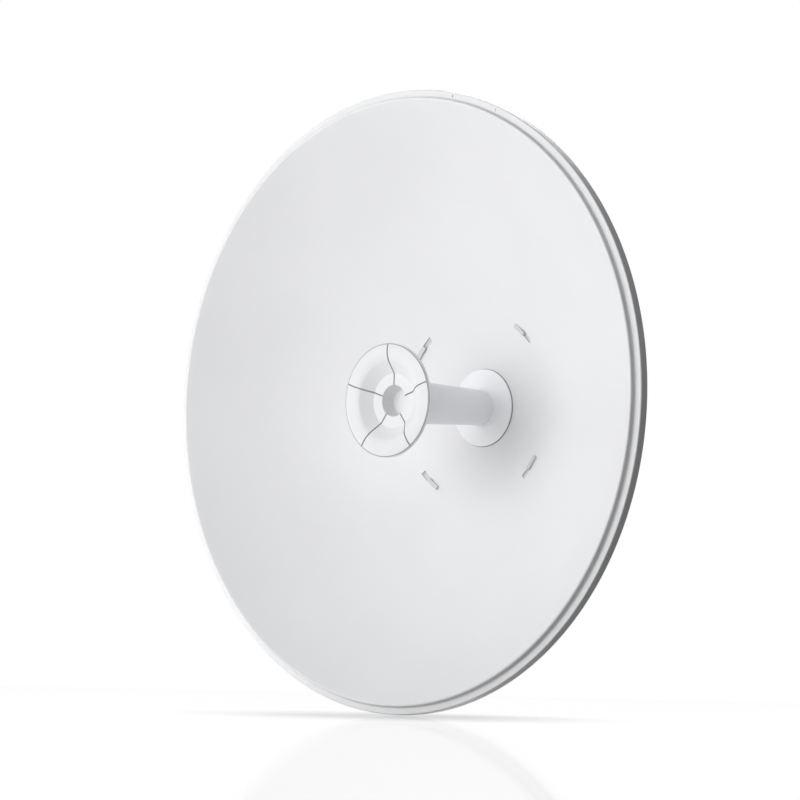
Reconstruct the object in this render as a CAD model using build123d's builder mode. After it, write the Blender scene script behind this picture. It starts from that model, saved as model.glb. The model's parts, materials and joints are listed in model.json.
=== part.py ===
from build123d import *
import os
from math import atan, cos, radians, sin, tan

os.makedirs("parts", exist_ok=True)

# Outdoor wireless bridge: a round parabolic dish with a plug-in feed and radio unit,
# on a tilting pole mount. Millimetres. +Z is up and the dish looks along -Y.
# The origin is on the pole's axis, at mid height of the clamp. The chain of places
# runs forward from the pole: clamp, pole bracket, tilt pivot, tilt bracket, dish plate,
# dish, feed. Angles round the dish are clockwise from the top, seen from the front.

# ---- pole clamp ----
pole_diameter = 50.0
largest_pole = 72.0
saddle_wall = 10.0
saddle_width = 104.0
saddle_height = 92.0
jaw_gap = 18.0
jaw_wing = 15.0
jaw_back = 12.0
jaw_nose_width = 52.0
grip_groove_width = 2.6
grip_groove_depth = 1.8
grip_groove_step = 22.0
clamp_bolt_spacing_x = 80.0
clamp_bolt_spacing_z = 66.0
bolt_diameter = 8.0
bolt_hole_clearance = 0.3
running_clearance = 0.06
bolt_head_diameter = 15.0
bolt_head_height = 3.4
nut_across_flats = 13.0
nut_height = 7.5
nut_flange_diameter = 17.5
nut_flange_height = 1.6
washer_diameter = 18.0
washer_thickness = 1.6
thread_stand_out = 3.0

# ---- pole bracket ----
bracket_sheet = 3.0
bracket_margin = 4.0
bend_radius = 3.0
pole_inner_width = 102.0
pivot_reach = 54.0
ear_root_height = 88.0
ear_end_radius = 20.0
ear_gap = 0.3
tie_slot_width = 5.0
tie_slot_length = 24.0

# ---- tilt bracket ----
tilt_web_margin = 12.0
tilt_web_setback = 42.5
tilt_ear_root_height = 96.0
tilt_ear_end_radius = 25.0
tilt_ear_nose = 10.0
tilt_limit = 20.0
tilt_slot_radius = 38.0
slot_play = 0.2
web_bolt_spacing_x = 76.0
web_bolt_flange_gap = 8.7
web_bolt_diameter = 6.0
web_bolt_head_diameter = 13.0
web_bolt_head_height = 2.6
web_nut_across_flats = 10.0
web_nut_height = 5.0
web_nut_flange_diameter = 13.0

# ---- dish plate with its four twist-lock hooks ----
plate_sheet = 2.5
plate_flat_radius = 104.0
plate_seat_inner = 114.0
plate_seat_outer = 124.0
seat_gap = 0.3
dish_standoff = 5.0
hook_count = 4
hook_first_angle = 38.0
hook_circle_radius = 100.0
hook_width = 4.2
hook_thickness = 2.0
hook_neck_width = 2.4
hook_neck_arc = 3.0
hook_overhang_arc = 6.2
hook_end_gap_arc = 0.2
hook_slot_width = 5.2
hook_lift = 0.35
hook_foot_margin = 0.8
lock_screw_radius = 119.0
lock_screw_diameter = 5.0
lock_screw_knob_diameter = 10.0
lock_screw_knob_height = 9.0

# ---- reflector dish ----
dish_diameter = 648.8
dish_sheet = 1.2
focal_length = 184.0
rim_flange_width = 9.4
lip_round = 2.0
lip_join = 4.0
lip_wall_stand_out = 1.2
lip_wall_draft = 0.4
rim_step_depth = 5.9
rim_step_bend = 1.6
rim_edge_round = 1.4
hem_depth = 9.2
hem_flare = 0.4
hem_round = 0.3
dish_hole_gap = 2.1
rim_hole_diameter = 3.0
rim_hole_angles = (11.25, 22.5)

# ---- hub housing behind the dish ----
case_radius = 36.5
case_wall = 2.6
case_seal_section = 0.85
case_seal_offset_y = 6.0
case_lid_thickness = 2.6
hub_fit = 0.4
hub_wall = 2.6
hub_depth = 65.0
hub_flange_width = 11.5
hub_flange_thickness = 3.0
hub_edge_round = 4.0
hub_screw_count = 4
hub_screw_start_angle = 30.0
hub_screw_setback = 7.0
hub_screw_diameter = 3.5
hub_screw_head_diameter = 6.5
hub_screw_head_height = 1.6
port_bay_width = 36.0
port_bay_length = 32.0
port_bay_drop = 10.5
port_bay_wall = 2.2
port_offset_y = 46.0
door_thickness = 2.2
door_gap = 0.3
door_barrel_radius = 2.6
door_barrel_length = 18.0
door_lug_length = 5.0
door_pin_diameter = 2.0
cable_diameter = 6.0
cable_notch_radius = 5.0
grommet_flange_radius = 7.0
grommet_flange_thickness = 1.4
tower_radius = 9.0
tower_wall = 2.0
tower_height = 14.0
tower_offset_y = 44.0
plunger_radius = 3.0
plunger_flange_radius = 6.6
plunger_flange_thickness = 2.2
plunger_seat_depth = 2.2
plunger_knob_radius = 8.0
plunger_knob_height = 7.0
spring_wire = 0.9
spring_radius = 4.9
spring_turns = 5

# ---- feed: collar, tube, sub-reflector ----
collar_cover = 2.2
collar_edge = 1.5
collar_dome = 0.6
collar_boss_radius = 23.4
collar_boss_height = 3.6
collar_boss_lip = 0.8
collar_spigot_length = 4.0
gasket_thickness = 0.6
gasket_stand_out = 0.15
tube_root_radius = 18.4
tube_head_radius = 23.5
tube_wall = 2.0
tube_root_depth = 1.0
disc_reach = 145.9
disc_radius = 59.7
disc_sheet = 1.4
disc_shoulder_radius = 50.2
disc_funnel_radius = 28.4
disc_funnel_depth = 11.1
cap_gap = 0.1
cap_edge_inset = 0.8
cap_thickness = 2.0
cap_crown = 2.4
cap_hollow_radius = 16.4
cap_hollow_depth = 16.0
cap_hollow_taper = 2.0
channel_count = 5
channel_width = 1.6
channel_depth = 1.2

# ---- radio inside the feed ----
board_thickness = 1.6
board_tongue_width = 26.0
board_width = 60.0
board_case_length = 58.0
board_rail_height = 2.0
horn_radius = 14.5
horn_wall = 2.0
horn_length = 49.0
horn_mouth_gap = 24.0
shield_height = 4.0
shield_corner = 1.0
tongue_shield_width = 20.0
tongue_shield_length = 30.0
case_shield_width = 32.0
case_shield_length = 22.0
case_shield_place = 16.0
sink_width = 46.0
sink_setback = 6.0
sink_length = 40.0
sink_base = 3.0
sink_fin_height = 9.0
sink_fin_count = 7
sink_fin_thickness = 1.6
pad_thickness = 1.0
port_board_drop = 15.0
port_board_width = 44.0
port_board_length = 24.0
jack_width = 16.0
jack_length = 14.0
jack_offset_x = -6.0
jack_mouth_width = 11.8
jack_mouth_length = 8.0
reset_offset_x = 11.0
reset_radius = 1.5
reset_travel = 0.8
reset_switch_size = 6.0
reset_switch_height = 3.4
lamp_count = 6
lamp_pitch = 5.0
lamp_radius = 1.2

# ---- spirit level and earth screw on the pole bracket ----
level_length = 34.0
level_width = 13.0
level_height = 10.0
level_grip = 3.4
vial_radius = 3.6
vial_length = 24.0
vial_wall = 0.8
earth_screw_diameter = 5.0
earth_screw_x = 16.0
earth_screw_gap = 10.5
earth_screw_head_diameter = 9.0
earth_screw_head_height = 3.2
star_washer_diameter = 11.0
star_washer_thickness = 0.8
star_tooth_count = 10

# ---- places worked out from the sizes above ----
pole_radius = pole_diameter / 2
bolt_radius = bolt_diameter / 2
web_rear_y = -(pole_radius + saddle_wall)
web_front_y = web_rear_y - bracket_sheet
bracket_height = saddle_height + 2 * bracket_margin
pivot_y = web_front_y - pivot_reach
tilt_web_rear_y = pivot_y - tilt_web_setback
plate_rear_y = tilt_web_rear_y - bracket_sheet
plate_front_y = plate_rear_y - plate_sheet
vertex_y = plate_front_y - dish_standoff
lock_bolt_y = pivot_y + tilt_slot_radius
pole_ear_inner_x = pole_inner_width / 2
pole_ear_outer_x = pole_ear_inner_x + bracket_sheet
tilt_ear_inner_x = pole_ear_outer_x + ear_gap
tilt_ear_outer_x = tilt_ear_inner_x + bracket_sheet
jaw_front_y = jaw_gap / 2
jaw_seat_y = jaw_front_y + jaw_wing
jaw_open_travel = largest_pole - pole_diameter
hub_inner_radius = case_radius + hub_fit
hub_radius = hub_inner_radius + hub_wall
hub_flange_radius = hub_radius + hub_flange_width
web_bolt_reach = hub_flange_radius + web_bolt_flange_gap
web_bolt_spacing_z = 2 * (web_bolt_reach**2 - (web_bolt_spacing_x / 2) ** 2) ** 0.5
tilt_web_height = web_bolt_spacing_z + 2 * tilt_web_margin
hub_screw_circle_radius = hub_radius + hub_screw_setback
dish_hole_radius = case_radius + dish_hole_gap
collar_radius = dish_hole_radius + collar_cover
earth_screw_z = -(hub_radius + earth_screw_gap)
hub_rear_y = plate_front_y + hub_depth
tower_y = plate_front_y + tower_offset_y
port_y = plate_front_y + port_offset_y
bay_rim_z = -(hub_radius + port_bay_drop)


def bowl_y(radius):
    """Place along Y of the reflecting face at a radius: a parabola about the boresight."""
    return vertex_y - radius * radius / (4 * focal_length)


def bowl_point(radius, behind=0.0):
    """A point of the reflecting face, moved square to the face, behind it if positive."""
    slope = atan(radius / (2 * focal_length))
    return (radius + behind * sin(slope), bowl_y(radius) + behind * cos(slope))


def radial_plane(clockwise):
    """Plane through the boresight: local x outwards at the angle, local y along +Y."""
    a = radians(clockwise)
    return Plane(origin=(0, 0, 0), x_dir=(sin(a), 0, cos(a)), z_dir=(-cos(a), 0, sin(a)))


def round_the_dish(radius, clockwise, y):
    """The point at a radius and an angle round the boresight."""
    a = radians(clockwise)
    return (radius * sin(a), y, radius * cos(a))


def save(piece, label):
    """Name a finished piece and write its file."""
    piece.part.label = label
    export_step(piece.part, f"parts/{label}.step")


# ---- fasteners, each along +Z with its bearing face at z = 0 ----
def carriage_bolt(diameter, head_diameter, head_height, length):
    """A domed head under z = 0 and a plain shank above it."""
    head_edge = head_height * 0.3
    with BuildPart() as bolt:
        dome_rise = head_height - head_edge
        dome_radius = ((head_diameter / 2) ** 2 + dome_rise**2) / (2 * dome_rise)
        with Locations((0, 0, dome_radius - head_height)):
            Sphere(dome_radius)
        with Locations((0, 0, -head_edge)):
            Box(
                4 * dome_radius, 4 * dome_radius, 4 * dome_radius, mode=Mode.SUBTRACT,
                align=(Align.CENTER, Align.CENTER, Align.MIN),
            )
        Cylinder(head_diameter / 2, head_edge, align=(Align.CENTER, Align.CENTER, Align.MAX))
        Cylinder(diameter / 2, length, align=(Align.CENTER, Align.CENTER, Align.MIN))
        chamfer(bolt.faces().sort_by(Axis.Z)[-1].edges(), diameter * 0.1)
    return bolt.part


def flange_nut(bore, across_flats, height, flange_diameter):
    """A hexagon nut with a round flange as its foot."""
    with BuildPart() as nut:
        with BuildSketch():
            RegularPolygon(across_flats / 2, 6, major_radius=False)
        extrude(amount=height)
        chamfer(nut.faces().sort_by(Axis.Z)[-1].edges(), height * 0.08)
        Cylinder(
            flange_diameter / 2, nut_flange_height, align=(Align.CENTER, Align.CENTER, Align.MIN)
        )
        Hole(bore / 2)
    return nut.part


def flat_washer(bore, diameter, thickness):
    """A plain round washer standing on z = 0."""
    with BuildPart() as ring:
        with BuildSketch():
            Circle(diameter / 2)
            Circle(bore / 2, mode=Mode.SUBTRACT)
        extrude(amount=thickness)
    return ring.part


def laid_on(plane, pattern):
    """Places of a flat pattern, laid on a plane."""
    return Locations(*[plane * place for place in pattern.local_locations])


def pan_screw(diameter, head_diameter, head_height, length):
    """A low round head above z = 0 with a cross recess, and a shank below it."""
    with BuildPart() as screw:
        Cylinder(head_diameter / 2, head_height, align=(Align.CENTER, Align.CENTER, Align.MIN))
        fillet(screw.faces().sort_by(Axis.Z)[-1].edges(), head_height * 0.4)
        Cylinder(diameter / 2, length, align=(Align.CENTER, Align.CENTER, Align.MAX))
        with BuildSketch(Plane.XY.offset(head_height)):
            Rectangle(head_diameter * 0.55, head_diameter * 0.14)
            Rectangle(head_diameter * 0.14, head_diameter * 0.55)
        extrude(amount=-head_height * 0.6, mode=Mode.SUBTRACT)
    return screw.part


# ======================= pole clamp =======================
clamp_bolt_grid = GridLocations(clamp_bolt_spacing_x, clamp_bolt_spacing_z, 2, 2)
grip_angles = [grip_groove_step * (i - 2) for i in range(5)]


def grip_grooves(facing):
    """Faces of the upright grooves that roughen a clamp's seat; facing is -1 or +1."""
    with BuildSketch() as grooves:
        for angle in grip_angles:
            a = radians(angle)
            with Locations(Location((pole_radius * sin(a), facing * pole_radius * cos(a)), -facing * angle)):
                Rectangle(grip_groove_width, 2 * grip_groove_depth)
    return grooves.sketch


with BuildPart() as pole_saddle:
    with BuildSketch():
        with BuildLine():
            Polyline(
                (-saddle_width / 2, web_rear_y),
                (saddle_width / 2, web_rear_y),
                (saddle_width / 2, -jaw_front_y),
                (-saddle_width / 2, -jaw_front_y),
                close=True,
            )
        make_face()
        Circle(pole_radius, mode=Mode.SUBTRACT)
        add(grip_grooves(-1), mode=Mode.SUBTRACT)
    extrude(amount=saddle_height / 2, both=True)
    fillet(pole_saddle.edges().filter_by(Axis.Z).group_by(Axis.X)[0], 3)
    fillet(pole_saddle.edges().filter_by(Axis.Z).group_by(Axis.X)[-1], 3)
    with BuildSketch(Plane.XZ.offset(-web_rear_y)):
        with clamp_bolt_grid:
            Circle(bolt_radius + bolt_hole_clearance)
    extrude(amount=-saddle_wall - pole_radius, mode=Mode.SUBTRACT)
save(pole_saddle, "pole_saddle")

with BuildPart() as clamp_jaw:
    with BuildSketch():
        with BuildLine():
            Polyline(
                (-saddle_width / 2, jaw_front_y),
                (saddle_width / 2, jaw_front_y),
                (saddle_width / 2, jaw_seat_y),
                (jaw_nose_width / 2 + 4, jaw_seat_y),
                (jaw_nose_width / 2 - 6, pole_radius + jaw_back),
                (-jaw_nose_width / 2 + 6, pole_radius + jaw_back),
                (-jaw_nose_width / 2 - 4, jaw_seat_y),
                (-saddle_width / 2, jaw_seat_y),
                close=True,
            )
        make_face()
        Circle(pole_radius, mode=Mode.SUBTRACT)
        add(grip_grooves(1), mode=Mode.SUBTRACT)
    extrude(amount=saddle_height / 2, both=True)
    fillet(clamp_jaw.edges().filter_by(Axis.Z).group_by(Axis.X)[0], 3)
    fillet(clamp_jaw.edges().filter_by(Axis.Z).group_by(Axis.X)[-1], 3)
    with BuildSketch(Plane.XZ.offset(-jaw_front_y)):
        with clamp_bolt_grid:
            Circle(bolt_radius + running_clearance)
    extrude(amount=-jaw_wing, mode=Mode.SUBTRACT)
save(clamp_jaw, "clamp_jaw")

clamp_bolt_end_y = (
    jaw_seat_y + washer_thickness + nut_height + jaw_open_travel + thread_stand_out
)
backwards_at_web = Plane(origin=(0, web_front_y, 0), x_dir=(1, 0, 0), z_dir=(0, 1, 0))
with BuildPart() as clamp_bolts:
    with laid_on(backwards_at_web, clamp_bolt_grid):
        add(
            carriage_bolt(
                bolt_diameter, bolt_head_diameter, bolt_head_height,
                clamp_bolt_end_y - web_front_y,
            )
        )
save(clamp_bolts, "clamp_bolts")

backwards_at_jaw = Plane(origin=(0, jaw_seat_y, 0), x_dir=(1, 0, 0), z_dir=(0, 1, 0))
with BuildPart() as clamp_washers:
    with laid_on(backwards_at_jaw, clamp_bolt_grid):
        add(flat_washer(bolt_diameter + 2 * bolt_hole_clearance, washer_diameter, washer_thickness))
save(clamp_washers, "clamp_washers")

with BuildPart() as clamp_nuts:
    with laid_on(backwards_at_jaw.offset(washer_thickness), clamp_bolt_grid):
        add(
            flange_nut(
                bolt_diameter + 2 * running_clearance, nut_across_flats, nut_height,
                nut_flange_diameter,
            )
        )
save(clamp_nuts, "clamp_nuts")

# ======================= pole bracket =======================
with BuildPart() as pole_bracket:
    with BuildSketch():
        with BuildLine():
            reach_y = pivot_y - ear_end_radius
            FilletPolyline(
                (-pole_ear_outer_x, reach_y),
                (-pole_ear_outer_x, web_rear_y),
                (pole_ear_outer_x, web_rear_y),
                (pole_ear_outer_x, reach_y),
                radius=bend_radius + bracket_sheet,
            )
            Line((pole_ear_outer_x, reach_y), (pole_ear_inner_x, reach_y))
            FilletPolyline(
                (pole_ear_inner_x, reach_y),
                (pole_ear_inner_x, web_front_y),
                (-pole_ear_inner_x, web_front_y),
                (-pole_ear_inner_x, reach_y),
                radius=bend_radius,
            )
            Line((-pole_ear_inner_x, reach_y), (-pole_ear_outer_x, reach_y))
        make_face()
    extrude(amount=bracket_height / 2, both=True)
    with BuildSketch(Plane.YZ):
        with BuildLine():
            Polyline(
                (web_rear_y + 1, -bracket_height / 2),
                (web_rear_y + 1, bracket_height / 2),
                (web_front_y - bend_radius - 2, bracket_height / 2),
                (web_front_y - bend_radius - 4, ear_root_height / 2),
                (pivot_y, ear_end_radius),
                (pivot_y, -ear_end_radius),
                (web_front_y - bend_radius - 4, -ear_root_height / 2),
                (web_front_y - bend_radius - 2, -bracket_height / 2),
                close=True,
            )
        make_face()
        with Locations((pivot_y, 0)):
            Circle(ear_end_radius)
    extrude(amount=pole_ear_outer_x + 1, both=True, mode=Mode.INTERSECT)
    with BuildSketch(Plane.YZ):
        with Locations((pivot_y, 0), (lock_bolt_y, 0)):
            Circle(bolt_radius)
    extrude(amount=pole_ear_outer_x + 1, both=True, mode=Mode.SUBTRACT)
    with BuildSketch(Plane.XZ.offset(-web_front_y)):
        with clamp_bolt_grid:
            Circle(bolt_radius + bolt_hole_clearance)
        with GridLocations(0, ear_end_radius * 2, 1, 2):
            SlotOverall(tie_slot_length, tie_slot_width)
    extrude(amount=-bracket_sheet, mode=Mode.SUBTRACT)
save(pole_bracket, "pole_bracket")

# The pivot and lock bolts go outwards through both pairs of ears.
right_ear = Plane(origin=(pole_ear_inner_x, 0, 0), x_dir=(0, 1, 0), z_dir=(1, 0, 0))
left_ear = Plane(origin=(-pole_ear_inner_x, 0, 0), x_dir=(0, 1, 0), z_dir=(-1, 0, 0))
nut_seat = tilt_ear_outer_x - pole_ear_inner_x
ear_bolt_length = nut_seat + washer_thickness + nut_height + thread_stand_out


def ear_bolt_places(y, stand_out):
    """Places on both sides, on the plane of a bolt's head moved outwards."""
    return [side.offset(stand_out) * Location((y, 0, 0)) for side in (right_ear, left_ear)]


for label, bolt_y in (("pivot", pivot_y), ("tilt_lock", lock_bolt_y)):
    with BuildPart() as ear_bolts:
        with Locations(*ear_bolt_places(bolt_y, 0)):
            add(
                carriage_bolt(
                    bolt_diameter, bolt_head_diameter, bolt_head_height, ear_bolt_length
                )
            )
    save(ear_bolts, f"{label}_bolts")
    with BuildPart() as ear_washers:
        with Locations(*ear_bolt_places(bolt_y, nut_seat)):
            add(flat_washer(bolt_diameter, washer_diameter, washer_thickness))
    save(ear_washers, f"{label}_washers")
    with BuildPart() as ear_nuts:
        with Locations(*ear_bolt_places(bolt_y, nut_seat + washer_thickness)):
            add(flange_nut(bolt_diameter, nut_across_flats, nut_height, nut_flange_diameter))
    save(ear_nuts, f"{label}_nuts")

# ======================= tilt bracket =======================
web_bolt_grid = GridLocations(web_bolt_spacing_x, web_bolt_spacing_z, 2, 2)
slot_end_angle = tilt_limit + 0.4
slot_centre_line = CenterArc((pivot_y, 0), tilt_slot_radius, -slot_end_angle, 2 * slot_end_angle)
with BuildPart() as tilt_bracket:
    with BuildSketch():
        with BuildLine():
            ear_end_y = lock_bolt_y + tilt_ear_end_radius
            FilletPolyline(
                (-tilt_ear_outer_x, ear_end_y),
                (-tilt_ear_outer_x, plate_rear_y),
                (tilt_ear_outer_x, plate_rear_y),
                (tilt_ear_outer_x, ear_end_y),
                radius=bend_radius + bracket_sheet,
            )
            Line((tilt_ear_outer_x, ear_end_y), (tilt_ear_inner_x, ear_end_y))
            FilletPolyline(
                (tilt_ear_inner_x, ear_end_y),
                (tilt_ear_inner_x, tilt_web_rear_y),
                (-tilt_ear_inner_x, tilt_web_rear_y),
                (-tilt_ear_inner_x, ear_end_y),
                radius=bend_radius,
            )
            Line((-tilt_ear_inner_x, ear_end_y), (-tilt_ear_outer_x, ear_end_y))
        make_face()
    extrude(amount=tilt_web_height / 2, both=True)
    with BuildSketch(Plane.YZ):
        with BuildLine():
            bend_end_y = tilt_web_rear_y + bend_radius
            slot_end = tilt_slot_radius * cos(radians(tilt_limit))
            Polyline(
                (plate_rear_y - 1, -tilt_web_height / 2),
                (bend_end_y, -tilt_web_height / 2),
                (bend_end_y + 2, -tilt_ear_root_height / 2),
                (pivot_y, -tilt_ear_end_radius - 4),
                (pivot_y + slot_end, -tilt_ear_end_radius),
                (lock_bolt_y + tilt_ear_nose, -tilt_ear_end_radius * 0.55),
                (lock_bolt_y + tilt_ear_nose, tilt_ear_end_radius * 0.55),
                (pivot_y + slot_end, tilt_ear_end_radius),
                (pivot_y, tilt_ear_end_radius + 4),
                (bend_end_y + 2, tilt_ear_root_height / 2),
                (bend_end_y, tilt_web_height / 2),
                (plate_rear_y - 1, tilt_web_height / 2),
                close=True,
            )
        make_face()
    extrude(amount=tilt_ear_outer_x + 1, both=True, mode=Mode.INTERSECT)
    with BuildSketch(Plane.YZ):
        with Locations((pivot_y, 0)):
            Circle(bolt_radius + running_clearance)
        SlotArc(slot_centre_line, bolt_diameter + 2 * slot_play)
    extrude(amount=tilt_ear_outer_x + 1, both=True, mode=Mode.SUBTRACT)
    with BuildSketch(Plane.XZ.offset(-plate_rear_y)):
        Circle(hub_radius + 2 * hub_fit)
        with web_bolt_grid:
            Circle(web_bolt_diameter / 2)
        with Locations((earth_screw_x, earth_screw_z)):
            Circle(earth_screw_diameter / 2)
    extrude(amount=-bracket_sheet, mode=Mode.SUBTRACT)
save(tilt_bracket, "tilt_bracket")

backwards_at_plate = Plane(origin=(0, plate_front_y, 0), x_dir=(1, 0, 0), z_dir=(0, 1, 0))
with BuildPart() as web_bolts:
    with laid_on(backwards_at_plate, web_bolt_grid):
        add(
            carriage_bolt(
                web_bolt_diameter, web_bolt_head_diameter, web_bolt_head_height,
                plate_sheet + bracket_sheet + web_nut_height + 2,
            )
        )
save(web_bolts, "web_bolts")

with BuildPart() as web_nuts:
    with laid_on(backwards_at_plate.offset(plate_sheet + bracket_sheet), web_bolt_grid):
        add(
            flange_nut(
                web_bolt_diameter, web_nut_across_flats, web_nut_height, web_nut_flange_diameter
            )
        )
save(web_nuts, "web_nuts")

# ======================= dish plate =======================
hub_screw_ring = PolarLocations(
    hub_screw_circle_radius, hub_screw_count, start_angle=hub_screw_start_angle, rotate=False
)
hook_angles = [hook_first_angle + i * 360 / hook_count for i in range(hook_count)]
hook_inner = hook_circle_radius - hook_width / 2
hook_outer = hook_circle_radius + hook_width / 2
neck_inner = hook_circle_radius - hook_neck_width / 2
neck_outer = hook_circle_radius + hook_neck_width / 2
slot_inner = hook_circle_radius - hook_slot_width / 2
slot_outer = hook_circle_radius + hook_slot_width / 2
hook_arc = hook_neck_arc + hook_overhang_arc
slot_arc = hook_arc + 3 * hook_end_gap_arc
behind_dish = dish_sheet + seat_gap

with BuildPart() as dish_plate:
    with BuildSketch():
        with BuildLine():
            FilletPolyline(
                (hub_radius + hub_fit, plate_front_y),
                (plate_flat_radius, plate_front_y),
                bowl_point(plate_seat_inner, behind_dish),
                bowl_point(plate_seat_outer, behind_dish),
                radius=plate_sheet * 1.4,
            )
            offset(amount=plate_sheet, side=Side.LEFT)
        make_face()
    revolve(axis=Axis.Y)
    foot_inner = slot_inner - hook_foot_margin
    foot_outer = slot_outer + hook_foot_margin
    for angle in hook_angles:
        neck_start = angle + hook_end_gap_arc
        with BuildSketch(radial_plane(neck_start - hook_overhang_arc)):
            with BuildLine():
                Polyline(
                    (foot_inner, plate_front_y + plate_sheet / 2),
                    (foot_outer, plate_front_y + plate_sheet / 2),
                    bowl_point(foot_outer, behind_dish),
                    bowl_point(foot_inner, behind_dish),
                    close=True,
                )
            make_face()
        revolve(axis=Axis.Y, revolution_arc=hook_overhang_arc + slot_arc)
        with BuildSketch(radial_plane(neck_start)):
            with BuildLine():
                Polyline(
                    (neck_inner, plate_front_y + plate_sheet / 2),
                    (neck_outer, plate_front_y + plate_sheet / 2),
                    bowl_point(neck_outer, -hook_lift - hook_thickness / 2),
                    bowl_point(neck_inner, -hook_lift - hook_thickness / 2),
                    close=True,
                )
            make_face()
        revolve(axis=Axis.Y, revolution_arc=hook_neck_arc)
        with BuildSketch(radial_plane(neck_start - hook_overhang_arc)):
            with BuildLine():
                Polyline(
                    bowl_point(hook_inner, -hook_lift),
                    bowl_point(hook_outer, -hook_lift),
                    bowl_point(hook_outer, -hook_lift - hook_thickness),
                    bowl_point(hook_inner, -hook_lift - hook_thickness),
                    close=True,
                )
            make_face()
        revolve(axis=Axis.Y, revolution_arc=hook_arc)
    with BuildSketch(Plane.XZ.offset(-plate_rear_y)):
        with web_bolt_grid:
            Circle(web_bolt_diameter / 2)
        with hub_screw_ring:
            Circle(hub_screw_diameter / 2)
        with Locations((earth_screw_x, earth_screw_z)):
            Circle(earth_screw_diameter / 2)
    extrude(amount=plate_sheet, mode=Mode.SUBTRACT)
    lock_seat = bowl_point(lock_screw_radius, behind_dish)
    lock_slope = atan(lock_screw_radius / (2 * focal_length))
    lock_screw_plane = Plane(
        origin=(0, lock_seat[1], -lock_seat[0]),
        x_dir=(1, 0, 0),
        z_dir=(0, cos(lock_slope), -sin(lock_slope)),
    )
    with BuildSketch(lock_screw_plane):
        Circle(lock_screw_diameter / 2)
    extrude(amount=plate_sheet * 2, both=True, mode=Mode.SUBTRACT)
save(dish_plate, "dish_plate")

with BuildPart() as lock_screw:
    with BuildSketch(lock_screw_plane):
        Circle(lock_screw_diameter / 2)
    extrude(amount=plate_sheet + 2)
    with BuildSketch(lock_screw_plane.offset(plate_sheet + 2)):
        Circle(lock_screw_knob_diameter / 2)
        with PolarLocations(lock_screw_knob_diameter / 2, 8):
            Circle(1.2, mode=Mode.SUBTRACT)
    extrude(amount=lock_screw_knob_height)
save(lock_screw, "dish_lock_screw")

# ======================= reflector dish =======================
dish_radius = dish_diameter / 2
lip_radius = dish_radius - rim_flange_width
join_radius = lip_radius - lip_join
join_slope = atan(join_radius / (2 * focal_length))
lip_wall_radius = lip_radius + lip_wall_stand_out
face_end = bowl_point(join_radius)
back_end = bowl_point(join_radius, dish_sheet)
lip_centre_radius = lip_wall_radius - lip_round
lip_y = (
    face_end[1] - tan(join_slope) * (lip_centre_radius - face_end[0])
    + lip_round * (1 / cos(join_slope) - 1)
)
rim_flange_y = lip_y + rim_step_depth
step_radius = lip_wall_radius + lip_wall_draft
bowl_radii = [dish_hole_radius + i * (join_radius - dish_hole_radius) / 8 for i in range(9)]


def bowl_heading(radius):
    """Direction of the bowl's curve, outwards and forwards, at a radius."""
    return (1, -radius / (2 * focal_length))


with BuildPart() as reflector_dish:
    with BuildSketch():
        with BuildLine():
            face = Spline(
                *[bowl_point(r) for r in bowl_radii],
                tangents=(bowl_heading(dish_hole_radius), bowl_heading(join_radius)),
            )
            FilletPolyline(
                face_end,
                (lip_wall_radius, face_end[1] - tan(join_slope) * (lip_wall_radius - face_end[0])),
                (step_radius, rim_flange_y),
                (dish_radius, rim_flange_y),
                (dish_radius + hem_flare, rim_flange_y + hem_depth),
                (dish_radius + hem_flare - dish_sheet, rim_flange_y + hem_depth),
                (dish_radius - dish_sheet, rim_flange_y + dish_sheet),
                (step_radius - dish_sheet, rim_flange_y + dish_sheet),
                (
                    lip_wall_radius - dish_sheet,
                    back_end[1] - tan(join_slope) * (lip_wall_radius - dish_sheet - back_end[0]),
                ),
                back_end,
                radius=[
                    lip_round, rim_step_bend, rim_edge_round, hem_round, hem_round,
                    rim_edge_round - dish_sheet, rim_step_bend + dish_sheet,
                    lip_round - dish_sheet,
                ],
            )
            back = Spline(
                *[bowl_point(r, dish_sheet) for r in reversed(bowl_radii)],
                tangents=(
                    (-1, join_radius / (2 * focal_length)),
                    (-1, dish_hole_radius / (2 * focal_length)),
                ),
            )
            Line(back @ 1, face @ 0)
        make_face()
    revolve(axis=Axis.Y)
    for angle in hook_angles:
        with BuildSketch(radial_plane(angle)):
            with BuildLine():
                Polyline(
                    (slot_inner, bowl_y(slot_inner) - 5),
                    (slot_outer, bowl_y(slot_inner) - 5),
                    (slot_outer, bowl_y(slot_inner) + 5),
                    (slot_inner, bowl_y(slot_inner) + 5),
                    close=True,
                )
            make_face()
        revolve(axis=Axis.Y, revolution_arc=slot_arc, mode=Mode.SUBTRACT)
    rim_hole_circle = (step_radius + dish_radius) / 2
    with BuildSketch(Plane.XZ.offset(-rim_flange_y)):
        for angle in rim_hole_angles:
            spot = round_the_dish(rim_hole_circle, angle, 0)
            with Locations((spot[0], spot[2])):
                Circle(rim_hole_diameter / 2)
    extrude(amount=dish_sheet * 2, both=True, mode=Mode.SUBTRACT)
save(reflector_dish, "reflector_dish")

# ======================= feed: collar, gasket, tube =======================
collar_back_y = bowl_y(collar_radius) - gasket_thickness
collar_front_y = collar_back_y - collar_edge
disc_y = collar_front_y - disc_reach
tube_root_y = collar_back_y + tube_root_depth
tube_head_y = disc_y + disc_funnel_depth
case_front_y = collar_back_y
case_rear_y = hub_rear_y - hub_wall - hub_fit - case_lid_thickness
case_inner_radius = case_radius - case_wall


def tube_radius(y):
    """Outer radius of the tapered feed tube at a place along the boresight."""
    share = (tube_root_y - y) / (tube_root_y - tube_head_y)
    return tube_root_radius + share * (tube_head_radius - tube_root_radius)


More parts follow.
